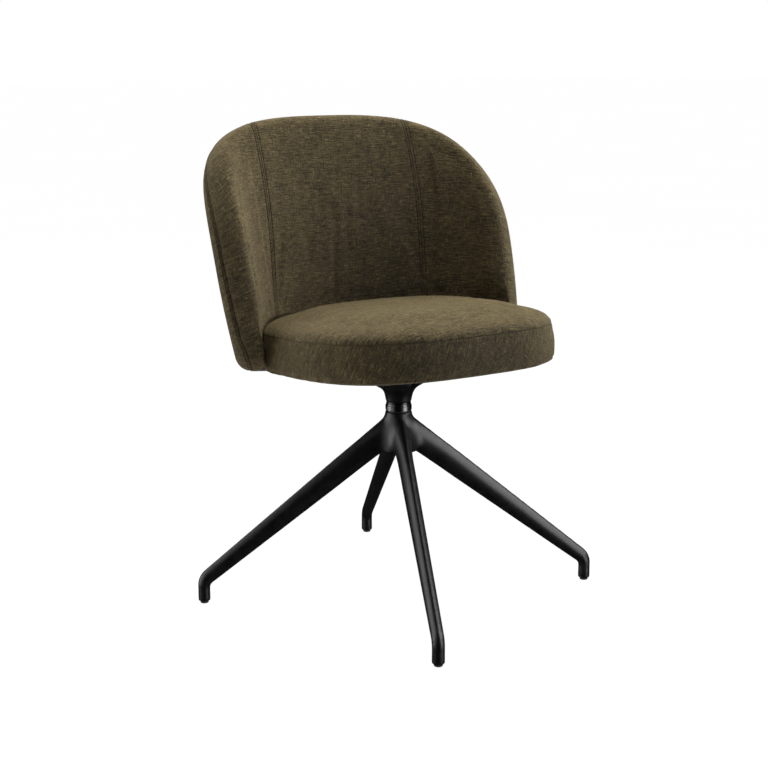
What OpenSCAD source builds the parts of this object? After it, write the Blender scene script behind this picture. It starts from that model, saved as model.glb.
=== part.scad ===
// Swivel dining chair: wraparound upholstered back and deep round seat on a cast swivel base with four legs.
// Millimetres, +Z up. The sitter faces -Y. The origin is on the floor, under the swivel axis.

/* [Base] */
// Radius of the circle through the middles of the four feet
foot_circle_r = 330; // [300:5:370]
// Turn of the legs about the swivel axis, measured from straight ahead
base_turn = -22.8; // [-45:0.1:45]
// Diameter of the upright foot at the end of each leg
foot_d = 20; // [18:1:24]
// Height at which the middle line of a leg meets the middle line of its foot
knee_z = 39.5; // [34:0.5:50]
// Radius of the bend between leg and foot, on the middle line
knee_bend_r = 24; // [18:1:28]
// Height at which the middle line of a leg would meet the swivel axis
leg_root_z = 297; // [286:1:302]
// Depth of a leg, square to its length, where it bends down into the foot
leg_tip_depth = 25; // [22:0.5:30]
// Depth of a leg, square to its length, where it leaves the hub
leg_root_depth = 47; // [42:0.5:52]
// Width of a leg before it flares into the hub
leg_root_w = 26; // [22:0.5:30]
// Height of the top face of the hub
hub_top_z = 317; // [312:1:322]
// Height of the underside of the hub
hub_bottom_z = 249; // [244:1:253]
// Diameter of the hub at its top face
hub_top_d = 45; // [42:1:48]
// Diameter of the hub at its underside
hub_bottom_d = 62; // [58:1:70]

/* [Foot glides] */
// Thickness of a glide under its foot
glide_h = 4; // [3:0.5:6]
// Diameter of the pad that stands on the floor
glide_pad_d = 14; // [12:0.5:16]
// Diameter of the stem that plugs into the foot
glide_stem_d = 8; // [6:0.5:10]
// Length of the stem that plugs into the foot
glide_stem_l = 16; // [12:1:20]

/* [Swivel] */
// Diameter of the steel spindle
spindle_d = 22; // [18:0.5:24]
// Wall of the two plastic bushes that the spindle turns in
bush_wall = 3; // [2:0.25:4]
// Length of each bush inside the hub
bush_l = 20; // [14:1:24]
// Thickness of the flange on each bush
bush_flange_h = 2; // [1.5:0.25:3]
// Diameter of the polished collar
collar_d = 44; // [42:0.5:47]
// Height of the polished collar
collar_h = 11.5; // [9:0.5:13]
// Height of the polished thrust washer above the collar
thrust_washer_h = 3; // [2:0.25:4]
// Diameter of the polished thrust washer
thrust_washer_d = 41; // [37:0.5:42]

/* [Seat] */
// Width of the seat cushion
seat_w = 447; // [430:1:450]
// Reach of the cushion in front of the swivel axis
seat_front = 238; // [220:2:250]
// Height of the cushion's underside at the swivel axis
seat_z = 399; // [394:1:408]
// Backward tilt of the seat
seat_tilt = 4.5; // [2:0.5:6]
// Height of the side band, from the underside to the seam
seat_band_h = 61; // [54:1:68]
// Rise of the crowned top above the seam
seat_crown_h = 34; // [26:1:40]
// Radius of the rolled lower edge
seat_roll_r = 13; // [8:1:16]
// Thickness of the plywood seat pan
pan_t = 12; // [9:1:15]
// Inset of the pan from the cushion's side
pan_inset = 22; // [18:1:30]
// Thickness of the upholstery cloth with its backing
cover_t = 2; // [1.5:0.25:3]

/* [Spider] */
// Radius of the circle through the four seat bolts
bolt_circle_r = 100; // [85:1:115]
// Width of an arm at its tip
arm_tip_w = 26; // [22:1:32]
// Depth of an arm at its tip
arm_tip_depth = 12; // [9:0.5:14]
// Depth of the arms beside the middle boss
arm_root_depth = 41; // [34:1:44]
// Width of an arm beside the middle boss
arm_root_w = 40; // [34:1:44]
// Diameter of the seat bolts
bolt_d = 6; // [5:0.5:8]

/* [Backrest] */
// Height of the top edge above the floor
back_top_z = 792; // [760:2:830]
// Thickness from front face to rear face
back_t = 58; // [54:1:62]
// Height at which the backrest is widest
back_widest_z = 600; // [580:2:630]
// Gap between the seat's side and the wings of the backrest at their lower edge
wing_gap = 10.5; // [8:0.5:18]
// How much wider the backrest is to each side at its widest height than at its lower edge
back_flare = 11; // [4:1:20]
// How much narrower the backrest is to each side at the top edge than at its lower edge
back_taper = 5; // [0:1:16]
// Depth of the wrap at the lower edge, from the rear to the widest line
back_low_depth = 284; // [274:1:294]
// Depth of the wrap where the backrest is widest
back_mid_depth = 191; // [182:1:200]
// Depth of the wrap at the top edge
back_top_depth = 102; // [92:1:112]
// Distance from the swivel axis back to the middle surface, behind the sitter
back_rear_y = 212; // [208:1:220]
// How far the top edge sets back behind the lower part
back_setback = 38; // [26:1:48]
// Height at which the backrest starts to set back
back_setback_z = 566; // [540:2:590]
// Radius of the lower front corners, on the middle surface
back_corner_r = 24; // [18:1:32]
// Thickness of the moulded plywood shell inside
shell_t = 9; // [7:0.5:11]
// Distance of the shell's edge from the middle line of the rolled rim
shell_inset = 6; // [2:1:12]

/* [Back brackets] */
// Thickness of the steel brackets between seat and backrest
bracket_t = 2.5; // [2:0.25:3]
// Width of a bracket
bracket_w = 40; // [36:1:50]
// Height of the upright flange
bracket_h = 72; // [66:1:80]
// Lap of the level flange under the seat pan
bracket_lap = 20; // [18:1:32]

/* [Hidden] */

// Colours
casting_black = [0.06, 0.06, 0.065];
plastic_black = [0.03, 0.03, 0.03];
polished_steel = [0.45, 0.45, 0.47];
plain_steel = [0.55, 0.55, 0.57];
plywood_tan = [0.72, 0.58, 0.4];
foam_cream = [0.86, 0.82, 0.68];
cloth_olive = [0.3, 0.27, 0.18];
lining_black = [0.07, 0.07, 0.07];

// Counts
leg_count = 4;
arm_count = 4;
leg_sides = 20;
seat_sides = 40;
bracket_angles = [-45, 0, 45];
round_fn = 64;

// Clearances
running_gap = 0.05;
soft_gap = 0.3;
pocket_gap = 0.6;
cushion_gap = 1;
overrun = 1;

// Foot glides
glide_pad_r = glide_pad_d / 2;
glide_stem_r = glide_stem_d / 2;
glide_chamfer = 0.8;
glide_bore_spare = 1;
foot_chamfer = 1;

// Swivel, from the top face of the hub upwards and from its underside upwards
spindle_r = spindle_d / 2;
bush_r = spindle_r + bush_wall;
upper_flange_r = 20;
cap_bore_h = 13;
cap_bore_r = bush_r + 5;
lower_flange_r = cap_bore_r - 1;
cap_h = 2;
cap_skirt_t = 1.5;
cap_skirt_h = 4;
washer_t = 2;
washer_r = cap_bore_r - 2;
circlip_t = 1.5;
circlip_wall = 4;
circlip_groove = 1;
circlip_opening = 6;
collar_lip_h = 3.2;
collar_lip_in = 1;
collar_chamfer = 0.6;
collar_z = hub_top_z + bush_flange_h;
thrust_washer_z = collar_z + collar_h;
spider_z = thrust_washer_z + thrust_washer_h + running_gap;
lower_flange_z = hub_bottom_z + cap_bore_h - bush_flange_h;
washer_z = lower_flange_z - washer_t - running_gap;
circlip_z = washer_z - circlip_t;
spindle_tail = 2;
spindle_chamfer = 1;
spindle_seat_h = 42;

// Spider
spider_lift = 1;
boss_low_r = 20.8;
boss_collar_r = 21.5;
boss_mid_r = 23.5;
boss_mid_h = 12;
boss_high_r = 28;
boss_high_h = 23;
boss_chamfer = 1.5;
arm_top_z = seat_z - spider_lift;
bolt_r = bolt_d / 2;
bolt_head_r = bolt_r + 2.5;
bolt_head_h = 4;
nut_barrel_r = bolt_r + 1.5;
nut_flange_r = bolt_r + 6;
nut_flange_t = 1.5;
nut_barrel_h = 9;

// Seat, in its own tilted frame: w is the height above the underside
front_squareness = 2.9;
rear_squareness = 1.75;
seat_middle_y = -12;
seat_rear = (back_rear_y - back_t / 2) * cos(seat_tilt) - seat_band_h * sin(seat_tilt) - cushion_gap;
seam_in = 3.5;
seam_notch = 1.5;
seam_half_w = 1.5;
crown_in = 67;
crown_shares = [0.25, 0.5, 0.75, 1];
lining_t = spider_lift;
lining_inset = 14;

// Backrest
back_half_t = back_t / 2;
back_low_half_w = seat_w / 2 + wing_gap + back_half_t;
back_mid_half_w = back_low_half_w + back_flare;
back_top_half_w = back_low_half_w - back_taper;
rim_top_z = back_top_z - back_half_t;
rim_low_z = seat_z + back_half_t;
plan_squareness = 2.19;
rim_squareness = 2.59;
wrap_angle = 69.9;
wrap_low_angle = 68.5;
upper_steps = 20;
side_steps = 4;
corner_steps = 3;
low_steps = 11;
ring_shares = [0.3, 0.6, 0.85];
cover_seam_angle = 130;
cover_seam_gap_angle = 0.6;
back_foam_half_t = back_half_t - cover_t - soft_gap;
split_w = -cos(cover_seam_angle) * back_foam_half_t;
shell_rear_w = split_w - soft_gap;
shell_front_w = shell_rear_w - shell_t;

// Brackets and their screws
bracket_sink = 0.5;
screw_spare = 4;
reach_step = bracket_t / 5;
slot_gap = 0.5;
screw_r = 2;
screw_head_r = 4.2;
screw_head_h = 2.2;
screw_side_x = 11;
upright_screw_h = 58;
upright_screw_l = bracket_t + shell_t - screw_spare;
level_screw_in = 10;
level_screw_l = bracket_t + lining_t + pan_t - screw_spare;

// Helpers
function spow(v, e) = sign(v) * pow(abs(v), e);
function unit(v) = v / norm(v);
function mix(a, b, share) = a + (b - a) * share;

// Value at z of the curve through three heights and their values
function through_three(z, z0, v0, z1, v1, z2, v2) =
    v0 * (z - z1) * (z - z2) / ((z0 - z1) * (z0 - z2))
    + v1 * (z - z0) * (z - z2) / ((z1 - z0) * (z1 - z2))
    + v2 * (z - z0) * (z - z1) / ((z2 - z0) * (z2 - z1));

// Points of a round edge: centre, radius, first and last angle, in steps
function arc(c, r, a0, a1, steps) =
    [for (i = [0 : steps]) let (a = mix(a0, a1, i / steps)) [c[0] + r * cos(a), c[1] + r * sin(a)]];

// Triangles of the band between rings j and j + 1. Where outward is false, the other diagonal is drawn, so
// that two skins that run the other way round over the same surface have the same facets.
function band_faces(j, n, outward) = [for (i = [0 : n - 1]) let (
        a = 1 + j * n + i,
        b = 1 + j * n + (i + 1) % n
    ) each (outward ? [[a, a + n, b + n], [a, b + n, b]] : [[a, a + n, b], [b, a + n, b + n]])];

// A closed skin: an end point, rings of equal count, another end point, and the way that each band runs
module closed_rings(first, rings, last, outward = []) {
    n = len(rings[0]);
    m = len(rings);
    tip = n * m + 1;
    polyhedron(
        points = concat([first], [for (ring = rings) each ring], [last]),
        faces = concat(
            [for (i = [0 : n - 1]) [0, 1 + i, 1 + (i + 1) % n]],
            [for (j = [0 : m - 2]) each band_faces(j, n, len(outward) == 0 || outward[j])],
            [for (i = [0 : n - 1]) [tip, tip - n + (i + 1) % n, tip - n + i]]
        ),
        convexity = 8
    );
}

function middle(ring) = [for (k = [0 : 2]) (min([for (p = ring) p[k]]) + max([for (p = ring) p[k]])) / 2];

// Puts a piece into the tilted frame of the seat
module on_seat() {
    translate([0, 0, seat_z]) rotate([-seat_tilt, 0, 0]) children();
}

module at_bolts() {
    for (k = [0 : arm_count - 1]) rotate([0, 0, 45 + 90 * k]) translate([bolt_circle_r, 0, 0]) children();
}

// A leg runs along -Y. s is the distance from the swivel axis, and slope is how steeply the leg falls.
leg_slope = atan((leg_root_z - knee_z) / foot_circle_r);
leg_start_s = 10;
bend_tangent = knee_bend_r * tan((90 - leg_slope) / 2);
bend_start_s = foot_circle_r - bend_tangent * cos(leg_slope);
bend_end_z = knee_z - bend_tangent;
leg_squareness = 2.5;
crest_share = 0.2;
root_flare_w = 13;
root_flare_l = 62;
leg_shares = [0, 0.06, 0.12, 0.19, 0.28, 0.42, 0.58, 0.76, 0.9, 1];
bend_steps = 6;

// A station: distance, height, slope, depth, width, squareness, narrowing of the crest
function straight_station(s) = let (
        share = (s - leg_start_s) / (bend_start_s - leg_start_s),
        flare = root_flare_w * pow(max(0, 1 - (s - leg_start_s) / root_flare_l), 2)
    ) [s, leg_root_z - s * tan(leg_slope), leg_slope, mix(leg_root_depth, leg_tip_depth, share),
        mix(leg_root_w, foot_d, share) + flare, leg_squareness, crest_share];

function bend_station(share) = let (slope = mix(leg_slope, 90, share)) [
    foot_circle_r - knee_bend_r * (1 - sin(slope)), bend_end_z + knee_bend_r * cos(slope), slope,
    mix(leg_tip_depth, foot_d, share), foot_d, mix(leg_squareness, 2, share), crest_share * (1 - share)];

function foot_station(z, d) = [foot_circle_r, z, 90, d, d, 2, 0];

leg_stations = concat(
    [for (share = leg_shares) straight_station(mix(leg_start_s, bend_start_s, share))],
    [for (i = [1 : bend_steps]) bend_station(i / bend_steps)],
    [foot_station(glide_h + foot_chamfer, foot_d), foot_station(glide_h, foot_d - 2 * foot_chamfer)]
);

function leg_ring(st) = [for (i = [0 : leg_sides - 1]) let (
        a = 360 * i / leg_sides,
        across = st[4] / 2 * spow(cos(a), 2 / st[5]) * (1 - st[6] * max(0, sin(a))),
        up = st[3] / 2 * spow(sin(a), 2 / st[5])
    ) [across, -st[0] - up * sin(st[2]), st[1] + up * cos(st[2])]];

module leg() {
    rings = [for (st = leg_stations) leg_ring(st)];
    closed_rings(middle(rings[0]), rings, middle(rings[len(rings) - 1]));
}

module at_feet() {
    for (k = [0 : leg_count - 1]) at_foot(k) children();
}

module at_foot(k) {
    rotate([0, 0, base_turn + 360 / leg_count * k]) translate([0, -foot_circle_r, 0]) children();
}

// The cast hub is a turned shape that narrows upwards with a hollow side
hub_edge_r = 3;
hub_steps = 8;
hub_waist_h = 14;
module hub_body() {
    top_r = hub_top_d / 2;
    low_r = hub_bottom_d / 2;
    waist_z = hub_top_z - hub_waist_h;
    flank = [for (i = [0 : hub_steps]) let (share = i / hub_steps)
        [top_r + (low_r - top_r) * pow(1 - share, 2), mix(hub_bottom_z + hub_edge_r, waist_z, share)]];
    rotate_extrude($fn = round_fn) polygon(concat(
        [[0, hub_bottom_z]],
        arc([low_r - hub_edge_r, hub_bottom_z + hub_edge_r], hub_edge_r, -90, -15, 3),
        flank,
        arc([top_r - hub_edge_r, hub_top_z - hub_edge_r], hub_edge_r, 0, 90, 4),
        [[0, hub_top_z]]
    ));
}

module base_casting() {
    bore_h = hub_top_z - hub_bottom_z;
    color(casting_black) difference() {
        union() {
            hub_body();
            for (k = [0 : leg_count - 1]) rotate([0, 0, base_turn + 360 / leg_count * k]) leg();
        }
        translate([0, 0, hub_bottom_z - overrun])
            cylinder(h = bore_h + 2 * overrun, r = bush_r, $fn = round_fn);
        translate([0, 0, hub_bottom_z - leg_root_depth])
            cylinder(h = leg_root_depth + cap_bore_h, r = cap_bore_r, $fn = round_fn);
        at_feet() translate([0, 0, glide_h - overrun])
            cylinder(h = glide_stem_l + glide_bore_spare + overrun, r = glide_stem_r, $fn = round_fn);
        translate([0, 0, hub_top_z]) cylinder(h = leg_root_depth, r = foot_circle_r / 2, $fn = round_fn);
    }
}

module foot_glide(k) {
    tip_r = glide_stem_r - glide_chamfer;
    color(plastic_black) at_foot(k) rotate_extrude($fn = round_fn) polygon([
        [0, 0], [glide_pad_r - glide_chamfer, 0], [glide_pad_r, glide_chamfer], [glide_pad_r, glide_h],
        [glide_stem_r, glide_h], [glide_stem_r, glide_h + glide_stem_l - glide_chamfer],
        [tip_r, glide_h + glide_stem_l], [0, glide_h + glide_stem_l]
    ]);
}
module foot_glide_1() { foot_glide(0); }
module foot_glide_2() { foot_glide(1); }
module foot_glide_3() { foot_glide(2); }
module foot_glide_4() { foot_glide(3); }

// A tube with its wall given by inner and outer radius, standing on z
module tube(z, h, inner_r, outer_r) {
    translate([0, 0, z]) rotate_extrude($fn = round_fn)
        translate([inner_r, 0]) square([outer_r - inner_r, h]);
}

module upper_bush() {
    color(plastic_black) union() {
        tube(hub_top_z - bush_l, bush_l, spindle_r + running_gap, bush_r);
        tube(hub_top_z, bush_flange_h, spindle_r + running_gap, upper_flange_r);
    }
}

module lower_bush() {
    color(plastic_black) union() {
        tube(lower_flange_z + bush_flange_h, bush_l, spindle_r + running_gap, bush_r);
        tube(lower_flange_z, bush_flange_h, spindle_r + running_gap, lower_flange_r);
    }
}

// The collar has a lip of smaller diameter on top, and its edges are broken
module swivel_collar() {
    outer_r = collar_d / 2;
    lip_z = collar_h - collar_lip_h;
    lip_r = outer_r - collar_lip_in;
    color(polished_steel) translate([0, 0, collar_z]) rotate_extrude($fn = round_fn) polygon([
        [spindle_r + running_gap, 0], [outer_r - collar_chamfer, 0], [outer_r, collar_chamfer],
        [outer_r, lip_z - collar_chamfer], [lip_r, lip_z], [lip_r, collar_h - collar_chamfer],
        [lip_r - collar_chamfer, collar_h], [spindle_r + running_gap, collar_h]
    ]);
}

module thrust_washer() {
    color(polished_steel)
        tube(thrust_washer_z, thrust_washer_h, spindle_r + running_gap, thrust_washer_d / 2);
}

// The cap closes the bore from below and grips with a short skirt
module hub_cap() {
    color(plastic_black) union() {
        translate([0, 0, hub_bottom_z]) cylinder(h = cap_h, r = cap_bore_r - running_gap, $fn = round_fn);
        tube(hub_bottom_z + cap_h, cap_skirt_h - cap_h, cap_bore_r - cap_skirt_t, cap_bore_r - running_gap);
    }
}

module spindle() {
    low_z = circlip_z - spindle_tail;
    top_z = spider_z + spindle_seat_h;
    groove_r = spindle_r - circlip_groove;
    color(plain_steel) rotate_extrude($fn = round_fn) polygon([
        [0, low_z], [spindle_r - spindle_chamfer, low_z], [spindle_r, low_z + spindle_chamfer],
        [spindle_r, circlip_z], [groove_r, circlip_z], [groove_r, circlip_z + circlip_t],
        [spindle_r, circlip_z + circlip_t], [spindle_r, top_z], [0, top_z]
    ]);
}

module spindle_washer() {
    color(plain_steel) tube(washer_z, washer_t, spindle_r, washer_r);
}

module spindle_circlip() {
    color(plain_steel) difference() {
        tube(circlip_z, circlip_t, spindle_r - circlip_groove, spindle_r + circlip_wall);
        translate([-circlip_opening / 2, 0, circlip_z - overrun])
            cube([circlip_opening, cap_bore_r, circlip_t + 2 * overrun]);
    }
}

// One arm: a side profile that thins towards the tip, cut to a tapered outline with a round end
arm_steps = 8;
arm_end_r = bolt_circle_r + arm_tip_w / 2;
arm_flat_r = bolt_circle_r - arm_tip_w / 2;
module spider_arm() {
    under = [for (i = [0 : arm_steps]) let (share = i / arm_steps)
        [mix(boss_high_r, arm_flat_r, share), -mix(arm_tip_depth, arm_root_depth, pow(1 - share, 1.15))]];
    profile = concat([[0, -arm_root_depth]], under, [[arm_end_r + overrun, -arm_tip_depth],
        [arm_end_r + overrun, 0], [0, 0]]);
    depth = arm_root_depth + 2 * overrun;
    intersection() {
        translate([0, arm_root_w / 2, 0]) rotate([90, 0, 0])
            linear_extrude(height = arm_root_w) polygon(profile);
        translate([0, 0, overrun - depth]) union() {
            linear_extrude(height = depth) polygon([
                [0, -arm_root_w / 2], [boss_high_r, -arm_root_w / 2], [bolt_circle_r, -arm_tip_w / 2],
                [bolt_circle_r, arm_tip_w / 2], [boss_high_r, arm_root_w / 2], [0, arm_root_w / 2]
            ]);
            translate([bolt_circle_r, 0, 0]) cylinder(h = depth, r = arm_tip_w / 2, $fn = round_fn);
        }
    }
}

module spider_boss() {
    rotate_extrude($fn = round_fn) polygon([
        [0, spider_z], [boss_low_r, spider_z], [boss_collar_r, spider_z + boss_chamfer],
        [boss_mid_r, spider_z + boss_mid_h], [boss_high_r, spider_z + boss_high_h],
        [boss_high_r, seat_z + arm_tip_depth], [0, seat_z + arm_tip_depth]
    ]);
}

module seat_spider() {
    color(casting_black) difference() {
        union() {
            spider_boss();
            on_seat() for (k = [0 : arm_count - 1])
                rotate([0, 0, 45 + 90 * k]) translate([0, 0, -spider_lift]) spider_arm();
        }
        on_seat() translate([0, 0, -spider_lift])
            cylinder(h = 2 * arm_root_depth, r = bolt_circle_r, $fn = round_fn);
        translate([0, 0, spider_z - overrun])
            cylinder(h = spindle_seat_h + overrun, r = spindle_r, $fn = round_fn);
        on_seat() at_bolts() translate([0, 0, -spider_lift - arm_tip_depth - overrun])
            cylinder(h = arm_tip_depth + 2 * overrun, r = bolt_r + running_gap, $fn = round_fn);
    }
}

module spider_bolts() {
    head_z = -spider_lift - arm_tip_depth - bolt_head_h;
    color(plain_steel) on_seat() at_bolts() translate([0, 0, head_z]) union() {
        cylinder(h = bolt_head_h, r = bolt_head_r, $fn = 6);
        cylinder(h = bolt_head_h + arm_tip_depth + spider_lift + nut_barrel_h, r = bolt_r, $fn = round_fn);
    }
}

// Flanged nuts let into the top of the pan
module seat_nuts() {
    color(plain_steel) on_seat() at_bolts() union() {
        tube(pan_t - nut_barrel_h, nut_barrel_h, bolt_r, nut_barrel_r);
        tube(pan_t - nut_flange_t, nut_flange_t, bolt_r, nut_flange_r);
    }
}

// Plan of the seat, square-shouldered in front and rounder behind
seat_plan = [for (i = [0 : seat_sides - 1]) let (
        a = 360 * i / seat_sides,
        rear = sin(a) > 0,
        e = 2 / (rear ? rear_squareness : front_squareness),
        reach = rear ? seat_rear - seat_middle_y : seat_front + seat_middle_y
    ) [seat_w / 2 * spow(cos(a), e), seat_middle_y + reach * spow(sin(a), e)]];

seat_plan_out = [for (i = [0 : seat_sides - 1]) let (
        d = seat_plan[(i + 1) % seat_sides] - seat_plan[(i + seat_sides - 1) % seat_sides]
    ) unit([d[1], -d[0]])];

function plan_inset(inset) = [for (i = [0 : seat_sides - 1]) seat_plan[i] - seat_plan_out[i] * inset];

// A ring of the cushion: how far inside the plan, and how high above the underside
function seat_ring(spec) = let (flat = plan_inset(spec[0])) [for (p = flat) [p[0], p[1], spec[1]]];

// The cushion's skin through a list of such rings
module seat_skin(first, specs, last) {
    rings = [for (spec = specs) seat_ring(spec)];
    outward = [for (j = [0 : len(specs) - 2]) specs[j + 1][1] >= specs[j][1]];
    on_seat() closed_rings(first, rings, last, outward);
}

// Section of the cushion from the rolled lower edge to the crown, moved inwards by d
function seat_section(d) = let (
        r = seat_roll_r - d,
        seam_z = seat_band_h,
        top_z = seat_band_h + seat_crown_h
    ) concat(
        [for (a = [0, 30, 60, 90]) [seat_roll_r - r * sin(a), seat_roll_r - r * cos(a)]],
        [[d, seat_band_h / 2], [d + seam_in / 2, seam_z - 2 * seam_half_w - d],
            [d + seam_in + seam_notch, seam_z - d], [d + seam_in, seam_z + seam_half_w - d]],
        [for (share = crown_shares) [d + seam_in + crown_in * (1 - cos(90 * share)),
            seam_z + seat_crown_h * 0.88 * sin(90 * share) - d]],
        [[d + 2 * crown_in, top_z - seat_crown_h * 0.03 - d]]
    );

function seat_top(d) = [0, seat_middle_y, seat_band_h + seat_crown_h - d];

module seat_pan() {
    color(plywood_tan) difference() {
        on_seat() linear_extrude(height = pan_t) polygon(plan_inset(pan_inset));
        on_seat() at_bolts() translate([0, 0, -overrun])
            cylinder(h = pan_t + 2 * overrun, r = nut_barrel_r, $fn = round_fn);
        on_seat() at_bolts() translate([0, 0, pan_t - nut_flange_t])
            cylinder(h = nut_flange_t + overrun, r = nut_flange_r, $fn = round_fn);
        for (b = bracket_angles) at_level_screws(b)
            cylinder(h = level_screw_l, r = screw_r, $fn = round_fn);
    }
}

module seat_lining() {
    color(lining_black) difference() {
        on_seat() translate([0, 0, -lining_t])
            linear_extrude(height = lining_t) polygon(plan_inset(lining_inset));
        on_seat() at_bolts() translate([0, 0, -lining_t - overrun])
            cylinder(h = lining_t + 2 * overrun, r = bolt_r + running_gap, $fn = round_fn);
        for (b = bracket_angles) at_level_screws(b)
            cylinder(h = level_screw_l, r = screw_r, $fn = round_fn);
    }
}

// Moulded foam with a recess for the pan
module seat_foam() {
    d = cover_t + soft_gap;
    edge = pan_inset - soft_gap;
    recess = [[edge + crown_in, pan_t + soft_gap], [edge, pan_t + soft_gap], [edge, d]];
    color(foam_cream)
        seat_skin([0, seat_middle_y, pan_t + soft_gap], concat(recess, seat_section(d)), seat_top(d));
}

// Sewn cover: a band and a top panel that meet in a sunk seam, turned under to the edge of the pan
module seat_cover() {
    edge = pan_inset - soft_gap;
    inner = concat([[edge, cover_t]], seat_section(cover_t));
    outer = concat([[edge, 0]], seat_section(0));
    color(cloth_olive) seat_skin(seat_top(cover_t),
        concat([for (i = [len(inner) - 1 : -1 : 0]) inner[i]], outer), seat_top(0));
}

// Middle surface of the backrest: phi turns about the sitter, z is the height
function back_half_w(z) = through_three(z, rim_low_z, back_low_half_w, back_widest_z, back_mid_half_w,
    rim_top_z, back_top_half_w);
function back_depth(z) = through_three(z, rim_low_z, back_low_depth, back_widest_z, back_mid_depth,
    rim_top_z, back_top_depth);
function back_spine_y(z) = back_rear_y
    + back_setback * pow(max(0, (z - back_setback_z) / (rim_top_z - back_setback_z)), 2);

function back_point(phi, z) = let (e = 2 / plan_squareness, depth = back_depth(z))
    [back_half_w(z) * spow(sin(phi), e), back_spine_y(z) - depth + depth * spow(cos(phi), e), z];

// Unit directions on the middle surface: along the wrap, and square to the surface towards the rear
near_angle = 0.5;
near_z = back_t / 50;
function back_along(phi, z) = unit(back_point(phi + near_angle, z) - back_point(phi - near_angle, z));
function back_normal(phi, z) =
    unit(cross(back_point(phi, z + near_z) - back_point(phi, z - near_z), back_along(phi, z)));

// Outline of the middle surface, as angle and height, over the top from left to right and back below
function low_edge_z(phi) = rim_low_z - back_point(phi, rim_low_z)[1] * tan(seat_tilt);
mm_per_degree = norm(back_point(wrap_low_angle, rim_low_z) - back_point(wrap_low_angle - 1, rim_low_z));
corner_angle = back_corner_r / mm_per_degree;
corner_phi = wrap_low_angle - corner_angle;
corner_z = low_edge_z(corner_phi) + back_corner_r;

upper_outline = [for (i = [0 : upper_steps]) let (a = 180 - 180 * i / upper_steps) [
    wrap_angle * spow(cos(a), 2 / rim_squareness),
    back_widest_z + (rim_top_z - back_widest_z) * spow(sin(a), 2 / rim_squareness)]];
side_outline = [for (i = [1 : side_steps]) let (share = i / (side_steps + 1))
    [mix(wrap_angle, wrap_low_angle, share), mix(back_widest_z, corner_z, share)]];
corner_outline = [for (i = [0 : corner_steps]) let (a = 90 * i / corner_steps)
    [corner_phi + corner_angle * cos(a), corner_z - back_corner_r * sin(a)]];
right_outline = concat(side_outline, corner_outline);
low_outline = [for (i = [1 : low_steps]) let (phi = corner_phi * (1 - 2 * i / (low_steps + 1)))
    [phi, low_edge_z(phi)]];
left_outline = [for (i = [len(right_outline) - 1 : -1 : 0]) [-right_outline[i][0], right_outline[i][1]]];
back_outline = concat(upper_outline, right_outline, low_outline, left_outline);
back_count = len(back_outline);
back_middle = [0, back_widest_z];

function around(i) = (i + back_count) % back_count;
rim_points = [for (p = back_outline) back_point(p[0], p[1])];
rim_normals = [for (p = back_outline) back_normal(p[0], p[1])];
rim_out = [for (i = [0 : back_count - 1])
    unit(cross(rim_points[around(i + 1)] - rim_points[around(i - 1)], rim_normals[i]))];
rim_spans = [for (p = rim_points) norm(p - back_point(back_middle[0], back_middle[1]))];

// A ring of the backrest: share of the way to the rim, inset from it, reach past it, distance to the rear
function back_ring(spec) = [for (i = [0 : back_count - 1]) let (
        p = mix(back_middle, back_outline[i], spec[0] * (1 - spec[1] / rim_spans[i]))
    ) back_point(p[0], p[1]) + rim_out[i] * spec[2] + back_normal(p[0], p[1]) * spec[3]];
function back_centre(w) = back_point(back_middle[0], back_middle[1])
    + back_normal(back_middle[0], back_middle[1]) * w;

// Ring specs of a flat part at distance w, outwards or inwards, and of the round rim between two angles
function face_out(w) = [for (share = ring_shares) [share, 0, 0, w]];
function face_in(w) = [for (i = [len(ring_shares) - 1 : -1 : 0]) [ring_shares[i], 0, 0, w]];
function rim_arc(r, a0, a1, steps) = [for (i = [0 : steps]) let (a = mix(a0, a1, i / steps))
    [1, 0, r * sin(a), -r * cos(a)]];

// A band runs outwards where it leaves the middle, or goes round the rim towards the rear
function round_angle(spec) = atan2(spec[2], -spec[3]);
function runs_out(a, b) = b[0] > a[0] || (b[0] == a[0] && round_angle(b) > round_angle(a));

module back_skin(first_w, specs, last_w) {
    rings = [for (spec = specs) back_ring(spec)];
    outward = [for (j = [0 : len(specs) - 2]) runs_out(specs[j], specs[j + 1])];
    closed_rings(back_centre(first_w), rings, back_centre(last_w), outward);
}

front_seam_angle = cover_seam_angle - cover_seam_gap_angle;
rear_seam_angle = cover_seam_angle + cover_seam_gap_angle;
rim_steps = 5;
rear_rim_steps = 2;

// Moulded plywood shell that carries both pads
module backrest_shell() {
    color(plywood_tan) difference() {
        back_skin(shell_front_w,
            concat(face_out(shell_front_w), [[1, shell_inset, 0, shell_front_w]],
                [[1, shell_inset, 0, shell_rear_w]], face_in(shell_rear_w)),
            shell_rear_w);
        for (b = bracket_angles) bracket_seat(b);
        for (b = bracket_angles) at_upright_screws(b)
            cylinder(h = upright_screw_l, r = screw_r, $fn = round_fn);
    }
}

module backrest_front_foam() {
    r = back_foam_half_t;
    edge = shell_inset - pocket_gap;
    pocket_w = shell_front_w - pocket_gap;
    color(foam_cream) difference() {
        back_skin(-r,
            concat(face_out(-r), rim_arc(r, 0, cover_seam_angle, rim_steps),
                [[1, edge, 0, split_w]], [[1, edge, 0, pocket_w]], face_in(pocket_w)),
            pocket_w);
        for (b = bracket_angles) bracket_slot(b);
    }
}

module backrest_rear_foam() {
    r = back_foam_half_t;
    front_w = split_w + soft_gap;
    color(foam_cream) back_skin(front_w,
        concat(face_out(front_w), [[1, shell_inset, 0, front_w]],
            rim_arc(r, acos(-front_w / r), 180, rear_rim_steps), face_in(r)),
        r);
}

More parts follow.
